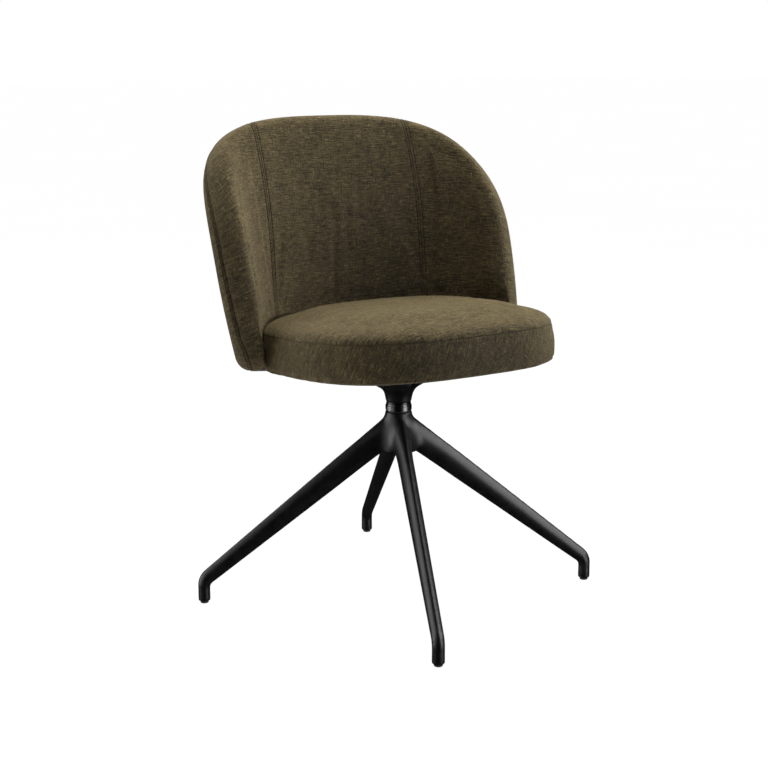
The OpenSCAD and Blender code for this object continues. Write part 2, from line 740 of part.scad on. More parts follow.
// Front cover: the sitter's side and the rolled rim, up to the seam round the outside
module backrest_front_cover() {
    r = back_half_t;
    inner_r = back_half_t - cover_t;
    color(cloth_olive) difference() {
        back_skin(-r,
            concat(face_out(-r), rim_arc(r, 0, front_seam_angle, rim_steps),
                rim_arc(inner_r, front_seam_angle, 0, rim_steps), face_in(-inner_r)),
            -inner_r);
        for (b = bracket_angles) bracket_slot(b);
    }
}

module backrest_rear_cover() {
    r = back_half_t;
    inner_r = back_half_t - cover_t;
    color(cloth_olive) back_skin(inner_r,
        concat(face_out(inner_r), rim_arc(inner_r, 180, rear_seam_angle, rear_rim_steps),
            rim_arc(r, rear_seam_angle, 180, rear_rim_steps), face_in(r)),
        r);
}

// Frame of a bracket: its bend lies along the seat, where the upright meets the plane below the lining
seat_up = [0, sin(seat_tilt), cos(seat_tilt)];
function without(v, axis) = unit(v - axis * (v * axis));
function bracket_along(b) = without(back_along(b, rim_low_z + bracket_h / 2), seat_up);
function bracket_normal(b) = without(back_normal(b, rim_low_z + bracket_h / 2), bracket_along(b));
function bracket_up(b) = cross(bracket_along(b), bracket_normal(b));
function bracket_corner(b) = let (
        p = back_point(b, rim_low_z + bracket_h / 2) + bracket_normal(b) * (shell_front_w + bracket_sink),
        drop = seat_up * (p - [0, 0, seat_z]) + lining_t + bracket_t
    ) p - bracket_up(b) * drop / (seat_up * bracket_up(b));

// Reach of a level flange: forward from its bend to the edge of the pan, and its lap
function seat_xy(p) = [p[0], p[1] * cos(seat_tilt) - (p[2] - seat_z) * sin(seat_tilt)];
function in_pan(p) = let (
        rear = p[1] > seat_middle_y,
        e = rear ? rear_squareness : front_squareness,
        reach = (rear ? seat_rear - seat_middle_y : seat_front + seat_middle_y) - pan_inset,
        half_w = seat_w / 2 - pan_inset
    ) pow(abs(p[0]) / half_w, e) + pow(abs(p[1] - seat_middle_y) / reach, e) < 1;
function pan_distance(b, s = 0) = in_pan(seat_xy(bracket_corner(b) - cross(seat_up, bracket_along(b)) * s))
    ? s : pan_distance(b, s + reach_step);
function bracket_reach(b) = pan_distance(b) + bracket_lap;

function frame_of(x, y, z, o) = [[x[0], y[0], z[0], o[0]], [x[1], y[1], z[1], o[1]], [x[2], y[2], z[2], o[2]],
    [0, 0, 0, 1]];

module in_upright(b) {
    multmatrix(frame_of(bracket_along(b), bracket_normal(b), bracket_up(b), bracket_corner(b))) children();
}

module in_level(b) {
    to_rear = cross(seat_up, bracket_along(b));
    multmatrix(frame_of(bracket_along(b), to_rear, seat_up, bracket_corner(b))) children();
}

module at_upright_screws(b) {
    in_upright(b) for (side = [-1, 1]) translate([side * screw_side_x, -bracket_t, upright_screw_h])
        rotate([-90, 0, 0]) children();
}

module at_level_screws(b) {
    in_level(b) for (side = [-1, 1])
        translate([side * screw_side_x, level_screw_in - bracket_reach(b), 0]) children();
}

// Room for the upright flange and its screws in the cover and the foam, and a flat for it in the shell
module bracket_slot(b) {
    slot_w = bracket_w + 2 * slot_gap;
    slot_depth = bracket_t + screw_head_h + bracket_sink + 2 * slot_gap;
    in_upright(b) translate([-slot_w / 2, bracket_sink + slot_gap - slot_depth, -overrun])
        cube([slot_w, slot_depth, bracket_h + slot_gap + overrun]);
}

module bracket_seat(b) {
    flat_w = bracket_w + 2 * running_gap;
    in_upright(b) translate([-flat_w / 2, -shell_t, -overrun])
        cube([flat_w, shell_t, bracket_h + running_gap + overrun]);
}

// Side view of a bent bracket: level flange under the pan, upright flange against the shell
function bracket_profile(b) = let (
        lie = atan2(-seat_up * bracket_normal(b), seat_up * bracket_up(b)),
        to_rear = [cos(lie), sin(lie)],
        rise = [-sin(lie), cos(lie)],
        bend = rise * bracket_t - to_rear * (bracket_t * (1 - sin(lie)) / cos(lie))
    ) [[0, 0], [0, bracket_h], [-bracket_t, bracket_h], bend, rise * bracket_t - to_rear * bracket_reach(b),
        -to_rear * bracket_reach(b)];

module back_brackets() {
    color(plain_steel) for (b = bracket_angles) difference() {
        multmatrix(frame_of(bracket_normal(b), bracket_up(b), bracket_along(b), bracket_corner(b)))
            translate([0, 0, -bracket_w / 2]) linear_extrude(height = bracket_w) polygon(bracket_profile(b));
        at_upright_screws(b) translate([0, 0, -overrun])
            cylinder(h = bracket_t + 2 * overrun, r = screw_r, $fn = round_fn);
        at_level_screws(b) translate([0, 0, -overrun])
            cylinder(h = bracket_t + 2 * overrun, r = screw_r, $fn = round_fn);
    }
}

// A wood screw: pan head below the plate, shank up through it
module screw(length) {
    union() {
        translate([0, 0, -screw_head_h]) cylinder(h = screw_head_h, r = screw_head_r, $fn = round_fn);
        cylinder(h = length, r = screw_r, $fn = round_fn);
    }
}

module bracket_screws() {
    color(plain_steel) for (b = bracket_angles) {
        at_upright_screws(b) screw(upright_screw_l);
        at_level_screws(b) screw(level_screw_l);
    }
}

base_casting();
foot_glide_1();
foot_glide_2();
foot_glide_3();
foot_glide_4();
upper_bush();
lower_bush();
swivel_collar();
thrust_washer();
hub_cap();
spindle();
spindle_washer();
spindle_circlip();
seat_spider();
spider_bolts();
seat_nuts();
seat_pan();
seat_lining();
seat_foam();
seat_cover();
back_brackets();
bracket_screws();
backrest_shell();
backrest_front_foam();
backrest_rear_foam();
backrest_front_cover();
backrest_rear_cover();
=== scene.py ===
import math

import bmesh
import bpy
import numpy as np
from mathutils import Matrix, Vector
from mathutils.kdtree import KDTree


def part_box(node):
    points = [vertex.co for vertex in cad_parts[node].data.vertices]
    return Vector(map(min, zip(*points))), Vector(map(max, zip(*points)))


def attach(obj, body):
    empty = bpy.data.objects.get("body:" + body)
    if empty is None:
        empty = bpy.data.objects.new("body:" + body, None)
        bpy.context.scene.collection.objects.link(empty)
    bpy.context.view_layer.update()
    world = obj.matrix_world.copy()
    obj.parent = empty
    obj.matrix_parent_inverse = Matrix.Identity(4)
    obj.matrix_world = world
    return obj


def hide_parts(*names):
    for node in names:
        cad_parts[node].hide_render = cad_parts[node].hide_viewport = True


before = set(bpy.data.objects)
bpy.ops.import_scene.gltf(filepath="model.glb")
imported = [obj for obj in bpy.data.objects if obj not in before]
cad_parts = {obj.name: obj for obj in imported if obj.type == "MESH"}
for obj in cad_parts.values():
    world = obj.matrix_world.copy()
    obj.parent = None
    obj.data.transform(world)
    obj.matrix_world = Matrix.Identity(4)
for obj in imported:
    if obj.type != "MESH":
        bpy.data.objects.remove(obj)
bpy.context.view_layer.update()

# Foot glides
# Four black nylon glides, moulded, each pushed up into the end of a foot by its stem.
# The pads are the only thing that touches the floor.
nylon_black = (0.022, 0.022, 0.023, 1)
nylon_worn = (0.045, 0.045, 0.046, 1)
nylon_matt = (0.42, 0.6)
nylon_grain_h = 0.00006
glides = ["foot_glide_1", "foot_glide_2", "foot_glide_3", "foot_glide_4"]


def new_finish(name):
    finish = bpy.data.materials.new(name)
    finish.use_nodes = True
    tree = finish.node_tree
    tree.nodes.clear()
    shader = tree.nodes.new("ShaderNodeBsdfPrincipled")
    out = tree.nodes.new("ShaderNodeOutputMaterial")
    tree.links.new(shader.outputs["BSDF"], out.inputs["Surface"])
    return finish, tree, shader


def feed(tree, value, socket):
    if isinstance(value, bpy.types.NodeSocket):
        tree.links.new(value, socket)
    else:
        socket.default_value = value


def add(tree, kind, sockets=None, **settings):
    made = tree.nodes.new("ShaderNode" + kind)
    for key, value in settings.items():
        setattr(made, key, value)
    for key, value in (sockets or {}).items():
        feed(tree, value, made.inputs[key])
    return made


def on_part(tree):
    return add(tree, "TexCoord").outputs["Object"]


def surface(tree, shader, colour, roughness, normal):
    """Gives a finish its colour, how matt it is and its fine relief."""
    feed(tree, colour, shader.inputs["Base Color"])
    feed(tree, roughness, shader.inputs["Roughness"])
    feed(tree, normal, shader.inputs["Normal"])


def noise(tree, where, scale, detail=3.0, roughness=0.55):
    sockets = {"Vector": where, "Scale": scale, "Detail": detail, "Roughness": roughness}
    return add(tree, "TexNoise", sockets).outputs["Fac"]


def span(tree, value, low, high, to_low=0.0, to_high=1.0):
    sockets = {"Value": value, "From Min": low, "From Max": high, "To Min": to_low, "To Max": to_high}
    return add(tree, "MapRange", sockets).outputs["Result"]


def blend_colours(tree, share, first, second, kind="MIX"):
    made = add(tree, "Mix", data_type="RGBA", blend_type=kind)
    feed(tree, share, made.inputs[0])
    feed(tree, first, made.inputs[6])
    feed(tree, second, made.inputs[7])
    return made.outputs[2]


def bump(tree, height, depth, strength=1.0, over=None):
    sockets = {"Height": height, "Distance": depth, "Strength": strength}
    if over is not None:
        sockets["Normal"] = over
    return add(tree, "Bump", sockets).outputs["Normal"]


def moulded_nylon():
    finish, tree, shader = new_finish("moulded_nylon")
    where = on_part(tree)
    wear = span(tree, noise(tree, where, 180, 4), 0.45, 0.75)
    grain = noise(tree, where, 2600, 2)
    tint = blend_colours(tree, wear, nylon_black, nylon_worn)
    matt = span(tree, grain, 0.3, 0.7, *nylon_matt)
    surface(tree, shader, tint, matt, bump(tree, grain, nylon_grain_h))
    return finish


def dress(names, finish):
    for name in names:
        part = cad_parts[name]
        part.data.materials.clear()
        part.data.materials.append(finish)


nylon = moulded_nylon()
dress(glides, nylon)

# Cast base
# One aluminium casting: a turned hub that flows into four tapering legs, each bent down into a round foot.
# It is blasted and powder coated satin black. The flanks of each leg are full and meet in a keen crest.
hub_top_z = 0.317
hub_bottom_z = 0.249
hub_top_r = 0.0225
hub_bottom_r = 0.0345
hub_edge_r = 0.003
hub_lip_r = 0.0012
hub_waist_z = 0.303
hub_bore_r = 0.014
cap_bore_r = 0.019
cap_bore_h = 0.013
foot_r = 0.010
foot_chamfer = 0.001
glide_h = 0.004
glide_stem_r = 0.004
glide_bore_h = 0.017
knee_z = 0.0395
knee_bend_r = 0.024
leg_root_z = 0.297
leg_root_depth = 0.047
leg_tip_depth = 0.025
leg_root_w = 0.026
leg_flare_w = 0.013
leg_flare_l = 0.062
leg_flare_start = 0.010
leg_start_s = 0.0165
leg_near_s = 0.09
leg_lean_l = 0.036
leg_squareness = 2.5
crest_sharpness = 1.0
crest_shoulder = 2.2
crest_tip = 1.15
cast_voxel = 0.0016
cove_reach_r = (0.065, 0.105)
cove_reach_z = (hub_top_z - 0.012, hub_top_z - 0.004)
foot_keep_z = 0.012
foot_keep_run = 0.01
evening_rounds = 6
evening_share = 0.5
cove_rounds = 460
cove_share = 0.85
crest_share = 0.02
coat_black = (0.004, 0.004, 0.0042, 1)
coat_grey = (0.008, 0.008, 0.0085, 1)
coat_speck = (0.016, 0.016, 0.017, 1)
coat_matt = (0.34, 0.40)
coat_peel_h = 0.00012


def spow(value, power):
    return np.sign(value) * np.abs(value) ** power


def ring_faces(count, around, closed=False):
    """Quads between rings of equal count, and unless they close on themselves a flat end at both."""
    faces = []
    for j in range(count if closed else count - 1):
        a = j * around
        b = (j + 1) % count * around
        faces += [(a + i, a + (i + 1) % around, b + (i + 1) % around, b + i) for i in range(around)]
    if not closed:
        faces.append(tuple(range(around))[::-1])
        faces.append(tuple(range((count - 1) * around, count * around)))
    return faces


def skin(name, rings, closed=False):
    rings = np.asarray(rings, float)
    mesh = bpy.data.meshes.new(name)
    mesh.from_pydata(rings.reshape(-1, 3).tolist(), [], ring_faces(*rings.shape[:2], closed))
    mesh.update()
    return mesh


def turned(name, profile, around=96):
    angles = np.linspace(0, 2 * math.pi, around, endpoint=False)
    rings = [[(r * math.cos(a), r * math.sin(a), z) for a in angles] for r, z in profile]
    return skin(name, rings, closed=True)


def round_edge(centre_r, centre_z, radius, first, last, steps=6):
    angles = np.radians(np.linspace(first, last, steps))
    return [(centre_r + radius * math.cos(a), centre_z + radius * math.sin(a)) for a in angles]


def place(name, mesh):
    piece = bpy.data.objects.new(name, mesh)
    bpy.context.scene.collection.objects.link(piece)
    return piece


def points_of(mesh):
    co = np.empty(len(mesh.vertices) * 3)
    mesh.vertices.foreach_get("co", co)
    return co.reshape(-1, 3)


def set_points(mesh, points):
    mesh.vertices.foreach_set("co", np.asarray(points, float).ravel())
    mesh.update()


def normals_of(mesh):
    normals = np.empty(len(mesh.vertices) * 3)
    mesh.vertices.foreach_get("normal", normals)
    return normals.reshape(-1, 3)


def baked(piece):
    """The piece's mesh with its modifiers applied, as a new mesh on the same piece."""
    shown = piece.evaluated_get(bpy.context.evaluated_depsgraph_get())
    mesh = bpy.data.meshes.new_from_object(shown)
    piece.modifiers.clear()
    piece.data = mesh
    return mesh


def fused(name, meshes, voxel):
    """One closed skin round several closed meshes that overlap."""
    joined = bmesh.new()
    for mesh in meshes:
        joined.from_mesh(mesh)
    whole = bpy.data.meshes.new(name)
    joined.to_mesh(whole)
    joined.free()
    piece = place(name, whole)
    remesh = piece.modifiers.new("skin", "REMESH")
    remesh.mode = "VOXEL"
    remesh.voxel_size = voxel
    baked(piece)
    return piece


def edges_of(mesh):
    pairs = np.empty(len(mesh.edges) * 2, int)
    mesh.edges.foreach_get("vertices", pairs)
    return pairs.reshape(-1, 2)


def fair(mesh, rounds, in_cove, on_edge, reach):
    """Moves each point towards its neighbours: in a cove by one share, on an edge by another."""
    points = points_of(mesh)
    pairs = edges_of(mesh)
    ends = np.concatenate([pairs[:, 0], pairs[:, 1]])
    others = np.concatenate([pairs[:, 1], pairs[:, 0]])
    count = np.bincount(ends, minlength=len(points))[:, None]
    for step in range(rounds):
        if step % 8 == 0:
            set_points(mesh, points)
            normals = normals_of(mesh)
        near = np.stack([np.bincount(ends, points[others, k], len(points)) for k in range(3)], 1)
        move = near / count - points
        out = (move * normals).sum(1, keepdims=True)
        points = points + move * (np.where(out > 0, in_cove, on_edge) * reach)
    set_points(mesh, points)


def leg_stations(circle_r):
    """Stations down the leg: distance, height, slope, depth, width, squareness, keenness of the crest."""
    slope = math.atan((leg_root_z - knee_z) / circle_r)
    tangent = knee_bend_r * math.tan((math.pi / 2 - slope) / 2)
    bend_s = circle_r - tangent * math.cos(slope)
    stations = []
    near_hub = np.linspace(leg_start_s, leg_near_s, 30)
    for s in np.concatenate([near_hub, np.linspace(leg_near_s, bend_s, 40)[1:]]):
        share = (s - leg_flare_start) / (bend_s - leg_flare_start)
        flare = leg_flare_w * max(0.0, 1 - (s - leg_flare_start) / leg_flare_l) ** 2
        lean = slope * min(1.0, (s - leg_start_s) / leg_lean_l)
        depth = (leg_root_depth + (leg_tip_depth - leg_root_depth) * share) / math.cos(slope - lean)
        width = leg_root_w + (2 * foot_r - leg_root_w) * share + flare
        z = leg_root_z - s * math.tan(slope)
        stations.append((s, z, lean, depth, width, leg_squareness, crest_sharpness))
    for share in np.linspace(0, 1, 17)[1:]:
        turn = slope + (math.pi / 2 - slope) * share
        s = circle_r - knee_bend_r * (1 - math.sin(turn))
        z = knee_z - tangent + knee_bend_r * math.cos(turn)
        depth = leg_tip_depth + (2 * foot_r - leg_tip_depth) * share
        squareness = leg_squareness + (2 - leg_squareness) * share
        stations.append((s, z, turn, depth, 2 * foot_r, squareness, crest_sharpness * (1 - share)))
    for z, r in [(glide_h + foot_chamfer, foot_r), (glide_h, foot_r - foot_chamfer),
                 (glide_h, glide_stem_r), (glide_h + glide_bore_h, glide_stem_r)]:
        stations.append((circle_r, z, math.pi / 2, 2 * r, 2 * r, 2, 0))
    return stations


def leg_mesh(name, circle_r, bearing):
    angles = np.linspace(0, 2 * math.pi, 48, endpoint=False)
    along = np.array([math.cos(bearing), math.sin(bearing), 0])
    across = np.array([-along[1], along[0], 0])
    upright = np.array([0, 0, 1])
    rings = []
    for s, z, slope, depth, width, squareness, crest in leg_stations(circle_r):
        round_side = spow(np.cos(angles), 2 / squareness)
        level = np.clip(spow(np.sin(angles), 2 / squareness), 0, 1)
        keen_side = np.sign(round_side) * (1 - level ** crest_shoulder) ** (1 / crest_tip)
        keen_side = np.where(level > 0, keen_side, round_side)
        side = width / 2 * (round_side + (keen_side - round_side) * crest)
        up = depth / 2 * spow(np.sin(angles), 2 / squareness)
        reach = s + up * math.sin(slope)
        height = z + up * math.cos(slope)
        rings.append(side[:, None] * across + reach[:, None] * along + height[:, None] * upright)
    return skin(name, rings)


def cast_coat():
    finish, tree, shader = new_finish("powder_coat")
    where = on_part(tree)
    cloud = noise(tree, where, 60, 4)
    orange_peel = noise(tree, where, 900, 3, 0.5)
    speck = span(tree, noise(tree, where, 2200, 2), 0.6, 0.75)
    tint = blend_colours(tree, span(tree, cloud, 0.35, 0.65), coat_black, coat_grey)
    tint = blend_colours(tree, span(tree, speck, 0, 1, 0, 0.35), tint, coat_speck)
    relief = bump(tree, orange_peel, coat_peel_h, 0.6)
    surface(tree, shader, tint, span(tree, cloud, 0.3, 0.7, *coat_matt), relief)
    shader.inputs["Specular IOR Level"].default_value = 0.5
    return finish


def middle_of(name):
    low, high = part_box(name)
    return (low + high) / 2


hub_profile = [(hub_bore_r, hub_top_z), (hub_bore_r, hub_bottom_z + cap_bore_h),
               (cap_bore_r, hub_bottom_z + cap_bore_h), (cap_bore_r, hub_bottom_z)]
hub_profile += round_edge(hub_bottom_r - hub_edge_r, hub_bottom_z + hub_edge_r, hub_edge_r, -90, -15)
for share in np.linspace(0, 1, 20):
    flank_r = hub_top_r + (hub_bottom_r - hub_top_r) * (1 - share) ** 2
    flank_low = hub_bottom_z + hub_edge_r
    hub_profile.append((flank_r, flank_low + (hub_waist_z - flank_low) * share))
hub_profile += round_edge(hub_top_r - hub_lip_r, hub_top_z - hub_lip_r, hub_lip_r, 0, 90)
castings = [turned("hub", hub_profile)]
for name in glides:
    foot = middle_of(name)
    castings.append(leg_mesh("leg", math.hypot(foot.x, foot.y), math.atan2(foot.y, foot.x)))

base = fused("cast_base", castings, cast_voxel)
cast_points = points_of(base.data)
from_axis = np.hypot(cast_points[:, 0], cast_points[:, 1])
root_reach = np.clip((cove_reach_r[1] - from_axis) / (cove_reach_r[1] - cove_reach_r[0]), 0, 1)
root_reach *= np.clip((cove_reach_z[1] - cast_points[:, 2]) / (cove_reach_z[1] - cove_reach_z[0]), 0, 1)
above_feet = np.clip((cast_points[:, 2] - foot_keep_z) / foot_keep_run, 0.15, 1)
fair(base.data, evening_rounds, evening_share, evening_share, above_feet[:, None])
fair(base.data, cove_rounds, cove_share, crest_share, root_reach[:, None])
powder_coat = cast_coat()
base.data.materials.append(powder_coat)
base.data.shade_smooth()
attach(base, "base")
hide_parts("base_casting")

# Swivel
# Two nylon bushes carry a steel spindle in the hub. Above them sit a polished collar and a thrust washer.
# A washer and a circlip hold the spindle from below, where a nylon cap closes the bore.
chrome_dark = (0.10, 0.10, 0.103, 1)
chrome_light = (0.16, 0.16, 0.164, 1)
# The thrust washer's steel is darker than the collar's as painted shade: it stands in for the shade that the
# washer sits in
washer_shade_dark = (0.035, 0.035, 0.037, 1)
washer_shade_light = (0.06, 0.06, 0.063, 1)
lathe_matt = (0.22, 0.32)
lathe_line_h = 0.00003
zinc_dull = (0.40, 0.40, 0.41, 1)
zinc_bright = (0.62, 0.62, 0.63, 1)
zinc_matt = (0.26, 0.42)
zinc_cloud_h = 0.00005


def turned_steel(name, dark, light):
    finish, tree, shader = new_finish(name)
    where = on_part(tree)
    split = add(tree, "SeparateXYZ", {"Vector": where})
    lathe = add(tree, "CombineXYZ", {"Z": split.outputs["Z"]}).outputs["Vector"]
    lines = noise(tree, lathe, 5200, 3)
    haze = noise(tree, where, 220, 4)
    tint = blend_colours(tree, haze, dark, light)
    matt = span(tree, lines, 0.3, 0.7, *lathe_matt)
    surface(tree, shader, tint, matt, bump(tree, lines, lathe_line_h, 0.5))
    shader.inputs["Metallic"].default_value = 1.0
    return finish


def zinc_plate():
    finish, tree, shader = new_finish("zinc_plated_steel")
    where = on_part(tree)
    spangle = add(tree, "TexVoronoi", {"Vector": where, "Scale": 420.0}, feature="SMOOTH_F1")
    cloud = noise(tree, where, 140, 4)
    tint = blend_colours(tree, span(tree, cloud, 0.3, 0.7), zinc_dull, zinc_bright)
    matt = span(tree, spangle.outputs["Distance"], 0, 0.8, *zinc_matt)
    surface(tree, shader, tint, matt, bump(tree, cloud, zinc_cloud_h, 0.5))
    shader.inputs["Metallic"].default_value = 1.0
    return finish


zinc = zinc_plate()
dress(["upper_bush", "lower_bush", "hub_cap"], nylon)
dress(["swivel_collar"], turned_steel("dark_polished_steel", chrome_dark, chrome_light))
# The thrust washer gets the darker steel, as painted shade
dress(["thrust_washer"], turned_steel("shade_darkened_steel", washer_shade_dark, washer_shade_light))
dress(["spindle", "spindle_washer", "spindle_circlip"], zinc)

# Seat spider
# A cast aluminium cross under the seat: a boss pressed on the spindle, and four arms bolted to the pan.
# The arms run out of the boss in full coves. It has the same satin black coat as the base.
spider_voxel = 0.0015
spider_foot_h = 0.002
spider_foot_run = 0.003
spider_bore_r = 0.012
spider_bore_run = 0.004
spider_evening_rounds = 5
spider_cove_rounds = 120
spider = fused("seat_spider_casting", [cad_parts["seat_spider"].data], spider_voxel)
spider_points = points_of(spider.data)
spider_r = np.hypot(spider_points[:, 0], spider_points[:, 1])
spider_low = spider_points[:, 2].min()
keep_flat = np.clip((spider_points[:, 2] - spider_low - spider_foot_h) / spider_foot_run, 0, 1)
spider_reach = keep_flat * np.clip((spider_r - spider_bore_r) / spider_bore_run, 0, 1)
even_reach = np.clip(spider_reach, 0.1, 1)
fair(spider.data, spider_evening_rounds, evening_share, evening_share, even_reach[:, None])
fair(spider.data, spider_cove_rounds, cove_share, crest_share, spider_reach[:, None])
spider.data.materials.clear()
spider.data.materials.append(powder_coat)
spider.data.shade_smooth()
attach(spider, "seat")
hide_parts("seat_spider")

# Fasteners and brackets
# Four hexagon bolts run up through the arms into flanged nuts let into the pan.
# Three bent steel brackets, each held by four wood screws, join the pan to the shell of the backrest.
dress(["spider_bolts", "seat_nuts", "back_brackets", "bracket_screws"], zinc)

# Pan, lining and shell
# The pan is flat beech plywood and the shell of the backrest is moulded from the same veneers.
# A black nonwoven lining is stapled over the underside of the pan.
beech_light = (0.62, 0.45, 0.27, 1)
beech_dark = (0.42, 0.27, 0.14, 1)
beech_grain = (14.0, 260.0, 260.0)
beech_pores = (60.0, 1400.0, 1400.0)
beech_matt = (0.5, 0.66)
beech_pore_h = 0.0001
lining_black = (0.020, 0.020, 0.020, 1)
lining_grey = (0.050, 0.050, 0.050, 1)
lining_matt = (0.75, 0.95)
lining_dot_h = 0.0004


def beech_ply():
    finish, tree, shader = new_finish("beech_plywood")
    where = on_part(tree)
    grain = add(tree, "Mapping", {"Vector": where, "Scale": beech_grain}).outputs["Vector"]
    streak = noise(tree, grain, 1.0, 5)
    fine_grain = add(tree, "Mapping", {"Vector": where, "Scale": beech_pores}).outputs["Vector"]
    pores = noise(tree, fine_grain, 1.0, 2)
    tint = blend_colours(tree, span(tree, streak, 0.3, 0.7), beech_dark, beech_light)
    matt = span(tree, streak, 0.3, 0.7, *beech_matt)
    surface(tree, shader, tint, matt, bump(tree, pores, beech_pore_h, 0.6))
    return finish


def nonwoven():
    finish, tree, shader = new_finish("nonwoven_lining")
    where = on_part(tree)
    dots = add(tree, "TexVoronoi", {"Vector": where, "Scale": 520.0}).outputs["Distance"]
    fibre = noise(tree, where, 1900, 4)
    tint = blend_colours(tree, span(tree, fibre, 0.4, 0.7), lining_black, lining_grey)
    matt = span(tree, fibre, 0.3, 0.7, *lining_matt)
    surface(tree, shader, tint, matt, bump(tree, dots, lining_dot_h, 0.7))
    return finish


dress(["seat_pan", "backrest_shell"], beech_ply())
dress(["seat_lining"], nonwoven())

# Seat cushion
# Moulded foam over the pan, in a sewn cover of melange cloth: a crowned top panel and a side band.
# They meet in one plain seam, and the band is drawn round the lower edge and stapled to the pan.
seat_z = 0.399
seat_tilt = math.radians(4.5)
seat_half_w = 0.2235
seat_front_reach = 0.226
seat_rear_reach = 0.180
seat_rear_middle_y = 0.012
pan_rear_reach = 0.18865
pan_rear_squareness = 1.75
seat_middle_y = -0.012
seat_front_squareness = 2.9
seat_rear_squareness = 2.2
band_h = 0.061
roll_r = 0.013
band_draw_in = 0.0035
crown_h = 0.035
crown_run = 0.185
crown_flatness = 3.4
crown_roundness = 2.5
band_bulge = 0.0025
pan_recess_h = 0.0123
pan_recess_in = 0.0217
hollow_scales = (0.04, 0.5)
seam_groove = 0.0007
seam_groove_w = 0.0008
seam_pull = 0.0003
seam_pull_w = 0.006
seam_shade = 0.3
seam_rings = (0.4, 0.8, 1.2, 1.7, 2.3, 3, 3.8, 4.8, 6, 7.4, 9)
seam_clear = 0.011
pucker_h = 0.00022
pucker_off = 0.004
pucker_w = 0.006
pucker_waves = ((60, 110, 0.6), (110, 190, 0.4))
band_ripple_waves = ((9, 22, 0.6), (25, 60, 0.4))
band_ripple_h = 0.0005
band_ripple_run = 0.03
band_ripple_from = -0.07
bag_inset = 0.002
bag_cloth = {"quality": 6, "mass": 0.3, "tension_stiffness": 12, "compression_stiffness": 12,
             "bending_stiffness": 0.8}
seat_held_w = 0.006
seat_swell_cap = 0.006
seat_swell_most = 0.004
seat_swell_run = 0.010
seat_swell_from = -0.06
band_slant = math.radians(24)
top_cloth_start = 5.0
yarn_pitch = 0.00125
weft_streak = (0.014, 0.0020, 3.1)
weft_long_streak = (0.034, 0.0023, 7.7, 3.0)
warp_streak = (0.0017, 0.010, 12.9)
warp_rare_streak = (0.0019, 0.022, 21.3)
yarn_grain = (0.0028, 0.0013, 33.0)
yarn_relief_h = 0.00032
slub_relief_h = 0.00055
yarn_wander = 0.0022
cloth_matt = (0.86, 0.96)
cloth_sheen = {"Weight": 0.2, "Roughness": 0.55, "Tint": (1.0, 0.83, 0.55, 1)}
yarn_shadow = (0.008, 0.006012, 0.00266, 1)
yarn_dark = (0.020, 0.0150, 0.0058, 1)
yarn_mid = (0.086, 0.0642, 0.0265, 1)
yarn_light = (0.205, 0.1558, 0.0690, 1)
yarn_fleck = (0.45, 0.359, 0.155, 1)


def in_seat(points):
    """Points of the seat's own level frame, put into the chair's frame."""
    x, y, z = points[..., 0], points[..., 1], points[..., 2]
    back = y * math.cos(seat_tilt) + z * math.sin(seat_tilt)
    up = seat_z - y * math.sin(seat_tilt) + z * math.cos(seat_tilt)
    return np.stack([x, back, up], -1)


def seat_frame(points):
    """How far back and how high points lie in the seat's own level frame."""
    y = points[:, 1]
    z = points[:, 2] - seat_z
    back = y * math.cos(seat_tilt) - z * math.sin(seat_tilt)
    level = y * math.sin(seat_tilt) + z * math.cos(seat_tilt)
    return back, level


def run_along(line):
    """How far along a line each of its points lies."""
    return np.concatenate([[0], np.cumsum(np.linalg.norm(np.diff(line, axis=0), axis=1))])


def evenly(points, count, closed=True, measured=None):
    """As many points at even spacing along a line through many points, and the line's length."""
    line = np.vstack([points, points[:1]]) if closed else points
    run = run_along(line if measured is None else np.vstack([measured, measured[:1]]))
    stops = np.linspace(0, run[-1], count, endpoint=not closed)
    return np.stack([np.interp(stops, run, line[:, k]) for k in range(line.shape[1])], 1), run[-1]


def mirrored(steps):
    """Steps to both sides of nought, in rising order."""
    steps = np.array(steps)
    return np.concatenate([-steps[::-1], [0], steps])


def seat_outline(rear_reach, rear_squareness, rear_middle_y):
    turn = np.linspace(0, 2 * math.pi, 2400, endpoint=False)
    rear = np.sin(turn) > 0
    power = 2 / np.where(rear, rear_squareness, seat_front_squareness)
    reach = np.where(rear, rear_reach, seat_front_reach)
    line = np.stack([seat_half_w * spow(np.cos(turn), power), reach * spow(np.sin(turn), power)], 1)
    line[:, 1] += np.where(rear, rear_middle_y, seat_middle_y)
    return evenly(line, 400)


def crown_rise(inset):
    share = np.clip(inset / crown_run, 0, 1)
    return crown_h * (1 - (1 - share) ** crown_flatness) ** (1 / crown_roundness)


def bell(distance, width):
    """One at nought, falling off smoothly to both sides."""
    return np.exp(-(distance / width) ** 2)


def bumps(run, length, waves, seed):
    """A gentle irregular line round a closed run: a sum of seeded waves, about -1 to 1."""
    draw = np.random.default_rng(seed)
    total = np.zeros_like(run)
    for low, high, share in waves:
        turns = draw.integers(low, high, 5)
        phases = draw.uniform(0, 2 * math.pi, 5)
        for turn, phase in zip(turns, phases):
            total += share / 2.2 * np.sin(2 * math.pi * turn * run / length + phase)
    return total


def give(mesh, **layers):
    """Keeps a number, or a place on the flat cloth, with each point of a mesh."""
    for name, values in layers.items():
        flat = np.ndim(values) == 2
        if name not in mesh.attributes:
            mesh.attributes.new(name, "FLOAT_VECTOR" if flat else "FLOAT", "POINT")
        if flat:
            values = np.column_stack([values, np.zeros(len(values))])
        kept = np.asarray(values, np.float32).ravel()
        mesh.attributes[name].data.foreach_set("vector" if flat else "value", kept)


